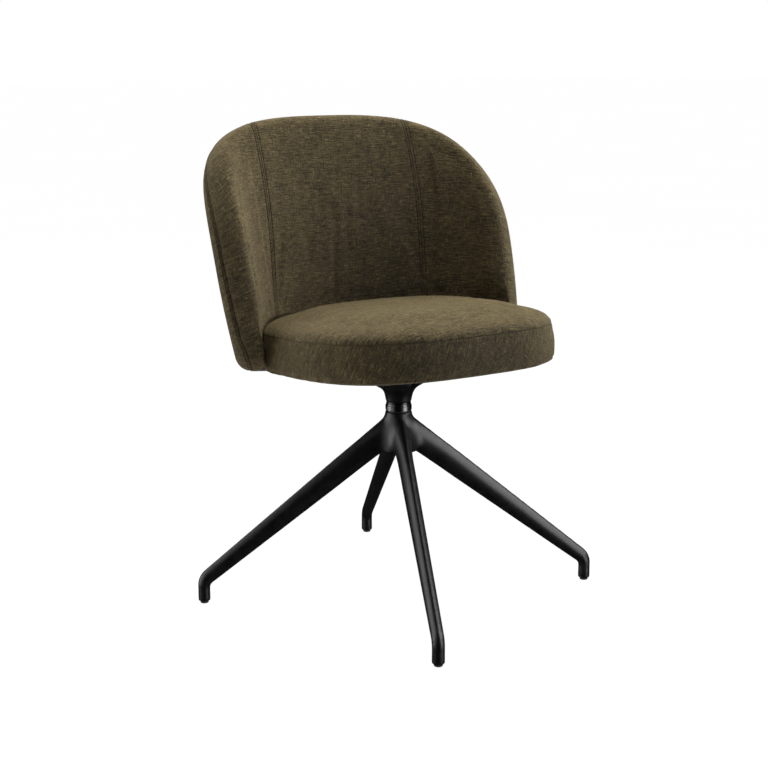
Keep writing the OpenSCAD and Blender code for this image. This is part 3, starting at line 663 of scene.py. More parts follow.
def melange_cloth(name):
    finish, tree, shader = new_finish(name)
    flat = add(tree, "Attribute", attribute_name="cloth").outputs["Vector"]
    drift = add(tree, "TexNoise", {"Vector": flat, "Scale": 60.0, "Detail": 2.0}).outputs["Color"]
    drift = add(tree, "VectorMath", {0: drift, 1: (0.5, 0.5, 0.5)}, operation="SUBTRACT").outputs["Vector"]
    drift = add(tree, "VectorMath", {0: drift, "Scale": yarn_wander}, operation="SCALE").outputs["Vector"]
    cloth = add(tree, "VectorMath", {0: flat, 1: drift}, operation="ADD").outputs["Vector"]

    def streaks(across_w, along_h, seed, detail=2.0):
        sockets = {"Vector": cloth, "Scale": (1 / across_w, 1 / along_h, 1.0)}
        sockets["Location"] = (seed, seed * 1.7, seed * 0.3)
        return noise(tree, add(tree, "Mapping", sockets).outputs["Vector"], 1.0, detail, 0.6)

    def maths(kind, first, second=0.0):
        return add(tree, "Math", {0: first, 1: second}, operation=kind).outputs["Value"]

    weft = streaks(*weft_streak)
    weft_long = streaks(*weft_long_streak)
    warp = streaks(*warp_streak)
    warp_rare = streaks(*warp_rare_streak)
    grain = streaks(*yarn_grain)
    cloud = noise(tree, cloth, 26.0, 3)
    split = add(tree, "SeparateXYZ", {"Vector": cloth})
    across = maths("SINE", maths("MULTIPLY", split.outputs["X"], math.pi / yarn_pitch))
    along = maths("SINE", maths("MULTIPLY", split.outputs["Y"], math.pi / yarn_pitch))
    crossing = maths("MULTIPLY", across, along)
    over = maths("SQRT", maths("ABSOLUTE", crossing))
    warp_up = span(tree, crossing, -0.25, 0.25)

    weft_tone = maths("ADD", maths("MULTIPLY", weft, 0.62), maths("MULTIPLY", weft_long, 0.38))
    tone = maths("ADD", maths("MULTIPLY", weft_tone, 0.68), maths("MULTIPLY", warp, 0.32))
    for part, share in ((grain, 0.22), (cloud, 0.12), (warp_up, 0.03)):
        tone = maths("ADD", tone, maths("MULTIPLY", maths("SUBTRACT", part, 0.5), share))
    low = blend_colours(tree, span(tree, tone, 0.385, 0.49), yarn_dark, yarn_mid)
    tint = blend_colours(tree, span(tree, tone, 0.495, 0.62), low, yarn_light)
    fleck = maths("MULTIPLY", span(tree, weft, 0.62, 0.70), span(tree, grain, 0.48, 0.60))
    fleck = maths("MAXIMUM", fleck, maths("MULTIPLY", span(tree, warp_rare, 0.67, 0.74), 0.7))
    tint = blend_colours(tree, maths("MULTIPLY", fleck, 0.75), tint, yarn_fleck)
    valley = span(tree, over, 0.0, 0.6, 0.62, 1.0)
    shade = add(tree, "CombineColor", {0: valley, 1: valley, 2: valley}).outputs[0]
    tint = blend_colours(tree, 1.0, tint, shade, "MULTIPLY")
    # Painted shade: the colour is darkened towards yarn_shadow along the seams' grooves, by a share kept with
    # each point
    sunk = add(tree, "Attribute", attribute_name="sunk").outputs["Fac"]
    tint = blend_colours(tree, maths("MULTIPLY", sunk, 0.85), tint, yarn_shadow)
    slub = maths("ADD", span(tree, weft, 0.35, 0.7), maths("MULTIPLY", span(tree, warp, 0.35, 0.7), 0.6))
    relief = bump(tree, slub, slub_relief_h, 0.8, bump(tree, over, yarn_relief_h, 0.8))
    surface(tree, shader, tint, span(tree, tone, 0.3, 0.7, *cloth_matt), relief)
    for key, value in cloth_sheen.items():
        shader.inputs["Sheen " + key].default_value = value
    shader.inputs["Specular IOR Level"].default_value = 0.22
    return finish


def swollen(mesh, held, cap, frames=20, voxel=0.006, pressure=4.0):
    """How far each point of a closed skin moves when a slightly smaller bag of its shape is blown up."""
    points = points_of(mesh)
    normals = normals_of(mesh)
    bag = place("bag", mesh.copy())
    set_points(bag.data, points - normals * bag_inset)
    remesh = bag.modifiers.new("skin", "REMESH")
    remesh.mode = "VOXEL"
    remesh.voxel_size = voxel
    baked(bag)
    start = points_of(bag.data)
    pins = bag.vertex_groups.new(name="held")
    for index, weight in enumerate(held(start)):
        if weight > 0:
            pins.add([index], float(weight), "REPLACE")
    cloth = bag.modifiers.new("cloth", "CLOTH")
    for key, value in bag_cloth.items():
        setattr(cloth.settings, key, value)
    cloth.settings.use_pressure = True
    cloth.settings.uniform_pressure_force = pressure
    cloth.settings.effector_weights.gravity = 0
    cloth.settings.vertex_group_mass = "held"
    cloth.collision_settings.use_collision = False
    cloth.point_cache.frame_start = 1
    cloth.point_cache.frame_end = frames
    for step in range(1, frames + 1):
        bpy.context.scene.frame_set(step)
    blown = points_of(baked(bag))
    bpy.context.scene.frame_set(1)
    bpy.data.objects.remove(bag)
    move = blown - start
    size = np.linalg.norm(move, axis=1, keepdims=True)
    move *= np.minimum(1, cap / np.maximum(size, 1e-9))
    tree = KDTree(len(start))
    for index, point in enumerate(start):
        tree.insert(Vector(point), index)
    tree.balance()
    moved = np.empty_like(points)
    for index, point in enumerate(points):
        near = tree.find_n(Vector(point), 6)
        weights = np.array([1 / (found[2] + 0.002) ** 2 for found in near])
        moved[index] = (weights[:, None] * move[[found[1] for found in near]]).sum(0) / weights.sum()
    return (moved * normals).sum(1) - bag_inset


# The section of the cushion from the rolled lower edge to the middle of the crown, as inset and height
band_mid = band_h / 2
roll_out = band_bulge * (1 - ((roll_r - band_mid) / band_mid) ** 2)
roll = [(roll_r - (roll_r + roll_out) * math.sin(a), roll_r - roll_r * math.cos(a))
        for a in np.linspace(0, math.pi / 2, 16)]
band = [(band_draw_in * max(0, (z - band_mid) / band_mid) ** 2
         - band_bulge * max(0, 1 - ((z - band_mid) / (band_h - band_mid)) ** 2), z)
        for z in np.linspace(roll_r, band_h, 60)[1:]]
crown_in = crown_run * 0.985 * np.linspace(0, 1, 400) ** 2.2
crown = [(band_draw_in + d, band_h + crown_rise(d)) for d in crown_in[1:]]
section = np.array(roll + band + crown)
section_run = run_along(section)
seam_run = section_run[len(roll) + len(band) - 1]
crown_start = seam_run + seam_clear
seat_runs = np.concatenate([np.linspace(0, seam_run - seam_clear, 24),
                            seam_run + mirrored(seam_rings) / 1000,
                            crown_start + np.linspace(0, 1, 46) ** 1.15 * (section_run[-1] - crown_start)])


def slanted(cloth, angle):
    turn = np.array([[math.cos(angle), -math.sin(angle)], [math.sin(angle), math.cos(angle)]])
    return cloth @ turn


def outward(line):
    run = np.roll(line, -1, 0) - np.roll(line, 1, 0)
    return np.stack([run[:, 1], -run[:, 0]], 1) / np.linalg.norm(run, axis=1, keepdims=True)


plan, plan_length = seat_outline(seat_rear_reach, seat_rear_squareness, seat_rear_middle_y)
plan_out = outward(plan)
pan_plan = seat_outline(pan_rear_reach, pan_rear_squareness, seat_middle_y)[0]
pan_edge = pan_plan - outward(pan_plan) * pan_recess_in
plan_run = np.linspace(0, plan_length, len(plan), endpoint=False)
seam_line = plan - plan_out * band_draw_in
seat_centre = np.array([0, seat_middle_y])
support = ((seam_line - seat_centre) * plan_out).sum(1)
flat_extra = section_run[-1] - seam_run - crown_in[-1]
rings, cloth_rings, seam_distance = [], [], []


def seat_ring(flat, height, cloth, from_seam):
    rings.append(np.column_stack([flat, np.broadcast_to(height, len(flat))]))
    cloth_rings.append(cloth)
    seam_distance.append(np.full(len(flat), from_seam))


for scale in hollow_scales:
    seat_ring(seat_centre + (pan_edge - seat_centre) * scale, pan_recess_h, plan * scale, -1)
for height in (pan_recess_h, 0.0):
    seat_ring(pan_edge, height, plan * 0.9, -1)
for run in seat_runs:
    inset = np.interp(run, section_run, section[:, 0])
    height = np.interp(run, section_run, section[:, 1])
    if run <= seam_run:
        on_cloth = slanted(np.column_stack([run + 0 * plan_run, plan_run]), band_slant)
        seat_ring(plan - plan_out * inset, height, on_cloth, run - seam_run)
    else:
        share = (inset - band_draw_in) / (crown_run * 1.02)
        local_in = share * support
        flat = seat_centre + (seam_line - seat_centre) * (1 - share)
        height = band_h + crown_rise(local_in * crown_run / support.mean())
        extra = flat_extra * (1 - (run - seam_run) / (section_run[-1] - seam_run)) ** 4
        seat_ring(flat, height, flat + plan_out * extra + top_cloth_start, run - seam_run)

seat_cloth = np.concatenate(cloth_rings)
from_seam = np.concatenate(seam_distance)
seat_mesh = skin("seat_cushion", in_seat(np.array(rings)))
seat_normals = normals_of(seat_mesh)
seat_points = points_of(seat_mesh)
around_run = np.tile(plan_run, len(rings))
push = -seam_groove * bell(from_seam, seam_groove_w) - seam_pull * bell(from_seam, seam_pull_w)
pucker = bumps(around_run, plan_length, pucker_waves, 5)
push += pucker_h * pucker * bell(np.abs(from_seam) - pucker_off, pucker_w)
ripple = bumps(around_run, plan_length, band_ripple_waves, 11)
on_band = (from_seam < 0) & (from_seam > band_ripple_from)
push += np.where(on_band, band_ripple_h * ripple * np.clip(-from_seam / band_ripple_run, 0, 1), 0)


def seat_held(points):
    """The bag is held along the seam and under the cushion."""
    level = seat_frame(points)[1]
    near_seam = np.abs(level - band_h) < seat_held_w
    return np.where(near_seam | (level < roll_r * 0.6), 1.0, 0.0)


swell = np.clip(swollen(seat_mesh, seat_held, seat_swell_cap), -bag_inset, seat_swell_most)
swell *= np.clip(np.abs(from_seam) / seat_swell_run, 0, 1)
push += np.where(from_seam > seat_swell_from, swell, 0)
set_points(seat_mesh, seat_points + seat_normals * push[:, None])
# Painted shade along the groove of the seat's seam, kept with each point for the cloth
give(seat_mesh, cloth=seat_cloth, sunk=seam_shade * bell(from_seam, seam_groove_w * 0.9))
seat_cushion = place("seat_cushion", seat_mesh)
olive_cloth = melange_cloth("melange_cloth")
seat_mesh.materials.append(olive_cloth)
seat_mesh.shade_smooth()
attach(seat_cushion, "seat")
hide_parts("seat_cover", "seat_foam")

# Backrest
# A wraparound moulded shell with a thick foam pad in front and a thin one behind, in the same cloth.
# The front cover has two felled upright seams, and meets the rear cover in a double seam round the rim.
back_top_z = 0.792
back_half_t = 0.029
back_rear_y = 0.212
back_setback = 0.038
back_setback_z = 0.566
back_widest_z = 0.600
back_low_half_w = 0.263
back_mid_half_w = 0.274
back_top_half_w = 0.258
back_low_depth = 0.284
back_mid_depth = 0.191
back_top_depth = 0.102
back_corner_r = 0.024
plan_squareness = 2.19
rim_squareness = 2.59
wrap_angle = math.radians(69.9)
wrap_low_angle = math.radians(68.5)
rim_top_z = back_top_z - back_half_t
rim_low_z = seat_z + back_half_t
cover_seam = math.radians(130)
rim_fullness = 3.0
inner_edge = 0.0054
hidden_depths = (0.0012, 0.003)
wing_rise = 0.0055
wing_press = 0.018
wing_press_level = (0.050, 0.125)
wing_press_back = (0.050, 0.120)
wing_free_level = (0.004, 0.030)
wing_rise_from = math.radians(25)
wing_rise_run = math.radians(30)
low_seam_z = 0.032
low_seam_run = 0.03
low_seam_turn = math.radians(22)
low_seam_spread = math.radians(30)
upright_seam_x = 0.149
rim_row = 0.0029
rim_rings = (9, 7, 5.6, 4.7, 4.1, 3.7, 3.3, 2.9, 2.5, 2.1, 1.7, 1.1, 0.5)
upright_row = 0.0046
upright_cuts = (0.4, 0.8, 1.4, 2.4, 4, 4.8, 5.4, 5.9, 6.4, 7, 7.8, 10, 13)
upright_cut_step = 0.00072
upright_groove = 0.0010
upright_shade = 0.9
row_groove = 0.0013
row_groove_w = 0.0008
felled_ridge_h = 0.00035
felled_ridge_w = 0.0016
felled_pull = 0.0011
felled_pull_w = 0.010
back_pucker_run = 0.4
back_pucker_waves = ((20, 40, 0.6), (50, 90, 0.4))
back_pucker_h = 0.00018
back_pucker_off = 0.006
back_pucker_w = 0.006
back_held_w = 0.007
back_held_y = 0.200
back_swell_cap = 0.005
back_swell_most = 0.003
back_swell_run = 0.02
shell_front_w = 0.00786
pad_split_w = 0.01716
pad_clear = 0.0003
shell_clear = 0.0006
seat_clear = 0.002
seat_clear_soft = 0.003
wing_cloth_start = (0.613, 0.0313)
rear_cloth_start = (2.317, 0.713)


def through_three(z, low, mid, top):
    a, b, c = rim_low_z, back_widest_z, rim_top_z
    return (low * (z - b) * (z - c) / ((a - b) * (a - c)) + mid * (z - a) * (z - c) / ((b - a) * (b - c))
            + top * (z - a) * (z - b) / ((c - a) * (c - b)))


def back_point(phi, z):
    """The middle surface of the backrest: phi turns about the sitter, z is the height."""
    power = 2 / plan_squareness
    half_w = through_three(z, back_low_half_w, back_mid_half_w, back_top_half_w)
    depth = through_three(z, back_low_depth, back_mid_depth, back_top_depth)
    above = np.maximum(0, (z - back_setback_z) / (rim_top_z - back_setback_z))
    x = half_w * spow(np.sin(phi), power)
    y = back_rear_y + back_setback * above ** 2 - depth + depth * spow(np.cos(phi), power)
    return np.stack([x, y, z + 0 * phi], -1)


def unit(vectors):
    return vectors / np.linalg.norm(vectors, axis=-1, keepdims=True)


def back_along(phi, z):
    near = math.radians(0.5)
    return unit(back_point(phi + near, z) - back_point(phi - near, z))


def back_normal(phi, z):
    near = back_half_t / 25
    return unit(np.cross(back_point(phi, z + near) - back_point(phi, z - near), back_along(phi, z)))


def low_edge_z(phi):
    raised = wing_rise * np.clip((np.abs(phi) - wing_rise_from) / wing_rise_run, 0, 1) ** 2
    return rim_low_z + raised - back_point(phi, rim_low_z + 0 * phi)[..., 1] * math.tan(seat_tilt)


def back_outline():
    """Angle and height round the rim's middle line, over the top from left to right and back below."""
    one_degree = back_point(wrap_low_angle, rim_low_z) - back_point(wrap_low_angle - 0.0175, rim_low_z)
    corner = math.radians(back_corner_r / np.linalg.norm(one_degree))
    corner_phi = wrap_low_angle - corner
    corner_z = low_edge_z(np.array(corner_phi)) + back_corner_r
    turn = np.linspace(math.pi, 0, 900)
    upper = np.stack([wrap_angle * spow(np.cos(turn), 2 / rim_squareness),
                      back_widest_z + (rim_top_z - back_widest_z) * spow(np.sin(turn), 2 / rim_squareness)], 1)
    share = np.linspace(0, 1, 120)[1:-1, None]
    side = np.hstack([wrap_angle + (wrap_low_angle - wrap_angle) * share,
                      back_widest_z + (corner_z - back_widest_z) * share])
    turn = np.linspace(0, math.pi / 2, 40)
    bend = np.stack([corner_phi + corner * np.cos(turn), corner_z - back_corner_r * np.sin(turn)], 1)
    phi = np.linspace(corner_phi, -corner_phi, 500)[1:-1]
    low = np.stack([phi, low_edge_z(phi)], 1)
    right = np.vstack([side, bend])
    left = right[::-1] * [-1, 1]
    line = np.vstack([upper, right, low, left])
    return evenly(line, 460, measured=back_point(line[:, 0], line[:, 1]))[0]


outline = back_outline()
rim_points = back_point(outline[:, 0], outline[:, 1])
rim_normals = back_normal(outline[:, 0], outline[:, 1])
rim_out = unit(np.cross(np.roll(rim_points, -1, 0) - np.roll(rim_points, 1, 0), rim_normals))
back_middle = np.array([0, back_widest_z])
rim_span = np.linalg.norm(rim_points - back_point(np.array(0.0), np.array(back_widest_z)), axis=1)
above_low = outline[:, 1] - rim_low_z + rim_points[:, 1] * math.tan(seat_tilt)
near_low = np.clip((low_seam_z - above_low) / low_seam_run, 0, 1)
arc_angles = np.radians(np.linspace(-80, 80, 321))
arc_points = back_point(arc_angles, np.full(321, back_widest_z))
arc_run = run_along(arc_points)
arc_run -= np.interp(0, arc_angles, arc_run)


def back_ring(share, inset, angle, radius, flat_w):
    """A ring of the pad with its cloth coordinates: on the face, round the rim, or at a distance inside."""
    pull = share * (1 - inset / rim_span)
    line = back_middle + (outline - back_middle) * pull[:, None]
    normal = back_normal(line[:, 0], line[:, 1])
    along = back_along(line[:, 0], line[:, 1])
    ring = back_point(line[:, 0], line[:, 1])
    cloth = np.stack([np.interp(line[:, 0], arc_angles, arc_run), line[:, 1]], 1)
    if angle is None:
        ring = ring + normal * flat_w
    else:
        turned_by = angle - low_seam_turn * near_low * bell(angle - cover_seam, low_seam_spread)
        sine, cosine = np.sin(turned_by)[:, None], np.cos(turned_by)[:, None]
        squared = (np.abs(sine) ** rim_fullness + np.abs(cosine) ** rim_fullness) ** (-1 / rim_fullness)
        ring = ring + radius * np.where(cosine > 0, squared, 1) * (rim_out * sine - normal * cosine)
        turn = np.stack([(rim_out * along).sum(1), rim_out[:, 2]], 1)
        cloth = cloth + turn / np.linalg.norm(turn, axis=1, keepdims=True) * radius * angle
    return ring, cloth


def pad_mesh(name, specs):
    made = [back_ring(*spec) for spec in specs]
    mesh = skin(name, np.array([ring for ring, cloth in made]))
    return mesh, np.concatenate([cloth for ring, cloth in made])


def rows_of(distance, row):
    return bell(distance + row, row_groove_w) + bell(distance - row, row_groove_w)


def row_profile(distance, row):
    """Depth of a felled seam at a distance from its middle: two sunk rows of stitches and a soft pull."""
    pull = felled_ridge_h * bell(distance, felled_ridge_w) - felled_pull * bell(distance, felled_pull_w)
    return pull - row_groove * rows_of(distance, row)


face_shares = np.concatenate([[0.012, 0.03], np.linspace(0.05, 1, 74)])
hidden_shares = (0.02, 0.3, 0.6, 0.85)
seam_steps = np.array([*rim_rings, 0]) / 1000 / back_half_t
rim_angles = np.concatenate([np.radians(np.arange(4, 110, 4)), cover_seam - seam_steps])
rear_angles = np.concatenate([cover_seam + seam_steps[::-1], np.radians(np.arange(150, 180, 5))])
front_specs = [(share, 0, None, 0, -back_half_t) for share in face_shares]
front_specs += [(1, 0, angle, back_half_t, 0) for angle in rim_angles]
front_specs += [(1, 0, cover_seam, back_half_t - depth, 0) for depth in hidden_depths]
front_specs += [(1, inner_edge, None, 0, flat_w) for flat_w in (pad_split_w, shell_front_w - shell_clear)]
front_specs += [(share, 0, None, 0, shell_front_w - shell_clear) for share in hidden_shares[::-1]]
rear_specs = [(share, 0, None, 0, pad_split_w + pad_clear) for share in hidden_shares]
rear_specs += [(1, inner_edge, None, 0, pad_split_w + pad_clear)]
rear_specs += [(1, 0, cover_seam, back_half_t - depth, 0) for depth in hidden_depths[::-1]]
rear_specs += [(1, 0, angle, back_half_t, 0) for angle in rear_angles]
rear_specs += [(share, 0, None, 0, back_half_t) for share in face_shares[::-1]]


def cut_upright_seams(mesh):
    """Edge loops beside each upright seam, so that its rows have real depth."""
    work = bmesh.new()
    work.from_mesh(mesh)
    for side in (-1, 1):
        for step in mirrored(upright_cuts):
            x = side * (upright_seam_x + step * upright_cut_step)
            faces = [f for f in work.faces
                     if min(v.co.x for v in f.verts) < x < max(v.co.x for v in f.verts)]
            edges = list({e for f in faces for e in f.edges})
            corners = list({v for f in faces for v in f.verts})
            bmesh.ops.bisect_plane(work, geom=faces + edges + corners, plane_co=(x, 0, 0),
                                   plane_no=(1, 0, 0), dist=1e-6)
    work.to_mesh(mesh)
    work.free()


def ring_marks(specs):
    """Each point's ring angle and whether it lies inside, so that cut points still know both."""
    angle, inside = [], []
    for _, _, turned_by, radius, flat_w in specs:
        on_face = turned_by is None
        angle.append((0.0 if flat_w < 0 else math.pi) if on_face else turned_by)
        inside.append(float((on_face and abs(flat_w) < 0.02) or 0 < radius < back_half_t - 0.002))
    return {"turned": np.repeat(angle, len(outline)), "inside": np.repeat(inside, len(outline))}


def marks_of(mesh, name):
    values = np.empty(len(mesh.vertices), np.float32)
    mesh.attributes[name].data.foreach_get("value", values)
    return values.astype(float)


def cloth_of(mesh):
    values = np.empty(len(mesh.vertices) * 3, np.float32)
    mesh.attributes["cloth"].data.foreach_get("vector", values)
    return values.reshape(-1, 3)[:, :2].astype(float)


def back_held(points):
    """The bag is held along its seams, behind the pad and round the rim."""
    beside = np.abs(np.abs(points[:, 0]) - upright_seam_x) < back_held_w
    return np.where(beside | (points[:, 1] > back_held_y), 1.0, 0.0)


def clear_of_seat(points):
    """The foam of the backrest gives way where the cushion is pressed into it."""
    back, level = seat_frame(points)
    inset = np.interp(level, section[:, 1], section[:, 0])
    inset = inset + np.maximum(0, -level) * 2 + np.maximum(0, level - band_h - crown_h) * 4
    behind = np.maximum(back - seat_rear_middle_y, 0)
    half_w = np.maximum(seat_half_w + seat_clear - inset, 0.01)
    reach = np.maximum(seat_rear_reach + seat_clear - inset, 0.01)
    power = seat_rear_squareness
    rho = ((np.abs(points[:, 0]) / half_w) ** power + (behind / reach) ** power) ** (1 / power)
    far = np.hypot(points[:, 0], behind)
    inside = far * (1 / np.maximum(rho, 1e-6) - 1)
    push = 0.5 * (inside + np.sqrt(inside ** 2 + seat_clear_soft ** 2))
    share = np.where(inside > -4 * seat_clear_soft, push, 0) / np.maximum(far, 1e-6)
    return in_seat(np.stack([points[:, 0] * (1 + share), back + behind * share, level], 1))


def fade(value, ends):
    share = np.clip((ends[1] - value) / (ends[1] - ends[0]), 0, 1)
    return share * share * (3 - 2 * share)


def thinned_wings(points, normals):
    """Beside the cushion the foam inside each wing is squeezed thin, so the cushion stands before it."""
    back, level = seat_frame(points)
    side = np.sign(points[:, 0])
    inward = np.clip(-side * normals[:, 0], 0, 1) ** 0.7
    push = wing_press * fade(level, wing_press_level) * fade(back, wing_press_back) * inward
    push *= 1 - fade(level, wing_free_level)
    return points + np.column_stack([side * push, 0 * push, 0 * push])


front_mesh, front_cloth = pad_mesh("backrest_front_pad", front_specs)
give(front_mesh, cloth=front_cloth, **ring_marks(front_specs))
cut_upright_seams(front_mesh)
outer = 1 - marks_of(front_mesh, "inside")
free_points = points_of(front_mesh)
pressed = clear_of_seat(thinned_wings(free_points, normals_of(front_mesh)))
set_points(front_mesh, free_points + (pressed - free_points) * outer[:, None])
front_points = points_of(front_mesh)
front_normals = normals_of(front_mesh)
front_angle = marks_of(front_mesh, "turned")
slant = np.clip(np.sqrt(np.maximum(0, 1 - front_normals[:, 0] ** 2)), 0.25, 1)
from_upright = (np.abs(front_points[:, 0]) - upright_seam_x) / slant
before_rear = np.clip((cover_seam - front_angle) / 0.25, 0, 1)
in_seam = bell(from_upright, row_groove_w)
near_rim = front_angle > 1.5
from_rim = (front_angle - cover_seam) * back_half_t
front_push = (row_profile(from_upright, upright_row) - upright_groove * in_seam) * before_rear
front_push += np.where(near_rim, row_profile(from_rim, rim_row), 0)
pucker = bumps(cloth_of(front_mesh)[:, 1], back_pucker_run, back_pucker_waves, 21)
pucker *= bell(np.abs(from_upright) - back_pucker_off, back_pucker_w)
front_push += back_pucker_h * pucker * before_rear
swell = np.clip(swollen(front_mesh, back_held, back_swell_cap), -0.001, back_swell_most)
swell *= np.clip(np.abs(from_upright) / back_swell_run, 0, 1)
front_push += swell * np.clip((cover_seam - front_angle) / 0.6, 0, 1)
set_points(front_mesh, front_points + front_normals * (front_push * outer)[:, None])
# Painted shade in the rows of stitches and in the groove of each upright seam, and in the rim seam's rows
front_sunk = (rows_of(from_upright, upright_row) + upright_shade * in_seam) * before_rear
panel = np.where(np.abs(front_points[:, 0]) > upright_seam_x, np.sign(front_points[:, 0]), 0)
give(front_mesh, cloth=cloth_of(front_mesh) + panel[:, None] * wing_cloth_start,
     sunk=front_sunk + np.where(near_rim, rows_of(from_rim, rim_row), 0))
front_pad = place("backrest_front_pad", front_mesh)
front_mesh.materials.append(olive_cloth)
front_mesh.shade_smooth()
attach(front_pad, "seat")
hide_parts("backrest_front_cover", "backrest_front_foam")

rear_mesh, rear_cloth = pad_mesh("backrest_rear_pad", rear_specs)
give(rear_mesh, cloth=rear_cloth + rear_cloth_start, **ring_marks(rear_specs))
rear_angle = marks_of(rear_mesh, "turned")
near_rim = (rear_angle < 3) * (1 - marks_of(rear_mesh, "inside"))
from_rim = (rear_angle - cover_seam) * back_half_t
rear_push = row_profile(from_rim, rim_row) * near_rim
set_points(rear_mesh, points_of(rear_mesh) + normals_of(rear_mesh) * rear_push[:, None])
# Painted shade in the rows of the rim's seam
give(rear_mesh, sunk=rows_of(from_rim, rim_row) * near_rim)
rear_pad = place("backrest_rear_pad", rear_mesh)
rear_mesh.materials.append(olive_cloth)
rear_mesh.shade_smooth()
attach(rear_pad, "seat")
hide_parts("backrest_rear_cover", "backrest_rear_foam")


# Stitches
# Olive thread, sewn in short even stitches: a row each side of both upright seams and of the rim's seam.
# Each stitch is a thin thread that dips into the cloth at both ends.
stitch_l = 0.0034
stitch_pitch = 0.0046
stitch_r = 0.00042
stitch_sections = ((0, -0.3, 0.6), (0.15, 0.35, 1), (0.5, 0.5, 1.05), (0.85, 0.35, 1), (1, -0.3, 0.6))
stitch_sides = 6
thread_olive = (0.055, 0.04255, 0.01976, 1)
thread_pale = (0.12, 0.0925, 0.04408, 1)
thread_matt = (0.5, 0.7)
thread_ply_h = 0.0001


def ring_grid(values, specs):
    """The values of a pad's own rings, without the points that the cuts beside the seams added."""
    count = len(specs) * len(outline)
    return values[:count].reshape(len(specs), len(outline), -1)


def where_zero(grid, normals, field, allowed):
    """One point and normal on each ring, where a field that is kept with the points changes sign."""
    line = []
    for ring, normal, value, keep in zip(grid, normals, field, allowed):
        following = np.roll(value, -1)
        crossed = (value[:, 0] * following[:, 0] <= 0) & (np.abs(value - following)[:, 0] < 0.02)
        hit = np.nonzero(crossed & keep)[0]
        if len(hit):
            i = hit[0]
            k = (i + 1) % len(ring)
            share = value[i, 0] / (value[i, 0] - value[k, 0] + 1e-12)
            both = np.hstack([ring, normal])
            line.append(both[i] + (both[k] - both[i]) * share)
    return np.array(line)


def stitches(rows):
    """Short threads laid end to end in each row, as one mesh."""
    around = np.linspace(0, 2 * math.pi, stitch_sides, endpoint=False)
    points, faces = [], []
    for row, closed in rows:
        count = int(evenly(row[:, :3], 10, closed)[1] / stitch_pitch)
        line = evenly(row, count * 2 + (not closed), closed)[0][:count * 2]
        for start in range(0, len(line) - 1, 2):
            here, normal = line[start, :3], unit(line[start, 3:6])
            along = line[start + 1, :3] - here
            along = unit(along - normal * (along @ normal))
            side = np.cross(normal, along)
            first = len(points)
            for share, lift, radius in stitch_sections:
                middle = here + along * stitch_l * share + normal * stitch_r * lift
                for turn in around:
                    round_it = side * math.cos(turn) + normal * math.sin(turn)
                    points.append(middle + stitch_r * radius * round_it)
            faces += [tuple(first + corner for corner in face) for face in stitch_faces]
    mesh = bpy.data.meshes.new("seam_stitches")
    mesh.from_pydata([tuple(point) for point in points], [], faces)
    mesh.update()
    return mesh


def thread_finish():
    finish, tree, shader = new_finish("olive_thread")
    where = on_part(tree)
    ply = noise(tree, where, 1500, 2)
    tint = blend_colours(tree, span(tree, ply, 0.35, 0.65), thread_olive, thread_pale)
    matt = span(tree, ply, 0.3, 0.7, *thread_matt)
    surface(tree, shader, tint, matt, bump(tree, ply, thread_ply_h, 0.6))
    return finish


stitch_faces = ring_faces(len(stitch_sections), stitch_sides)
front_grid = ring_grid(points_of(front_mesh), front_specs)
front_grid_normals = ring_grid(normals_of(front_mesh), front_specs)
front_field = ring_grid(from_upright, front_specs)
seam_start = len(face_shares) + len(rim_angles) - len(seam_steps)
rows = []
for side in (-1, 1):
    for row in (-upright_row, upright_row):
        on_side = front_grid[:, :, 0] * side > 0
        upper = on_side & (outline[:, 1] > back_widest_z)
        lower = on_side & (outline[:, 1] <= back_widest_z)
        top_part = where_zero(front_grid[:seam_start + 2], front_grid_normals, front_field - row, upper)
        low_part = where_zero(front_grid[:len(face_shares)], front_grid_normals, front_field - row, lower)
        rows.append((np.vstack([low_part[::-1], top_part]), False))
row_at = int(np.argmin(np.abs(seam_steps * back_half_t - rim_row)))
row_ring = seam_start + row_at
rows.append((np.hstack([front_grid[row_ring], front_grid_normals[row_ring]]), True))
row_ring = len(rear_specs) - len(face_shares) - len(rear_angles) + len(seam_steps) - 1 - row_at
rows.append((np.hstack([ring_grid(values, rear_specs)[row_ring]
                        for values in (points_of(rear_mesh), normals_of(rear_mesh))]), True))
seam_stitches = place("seam_stitches", stitches(rows))
seam_stitches.data.materials.append(thread_finish())
seam_stitches.data.shade_smooth()
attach(seam_stitches, "seat")

# Floor, light and camera
# A plain pale floor, soft boxes at both sides and above, and the camera of a product photograph.
# One set of boxes lights the cloth, and one set is seen only as gloss on the coat and the collar.
floor_white = (1.0, 1.0, 1.0, 1)
floor_pale = (0.985, 0.985, 0.985, 1)
floor_dark = (0.03, 0.03, 0.03, 1)
floor_grey = (0.035, 0.035, 0.035, 1)
floor_matt = (0.85, 0.95)
floor_half = 40
camera_at = (-1.3465, -2.0445, 0.9041)
camera_aim = (0.5289, 0.8207, -0.2163)
lens_l = 70.73
film_w = 36
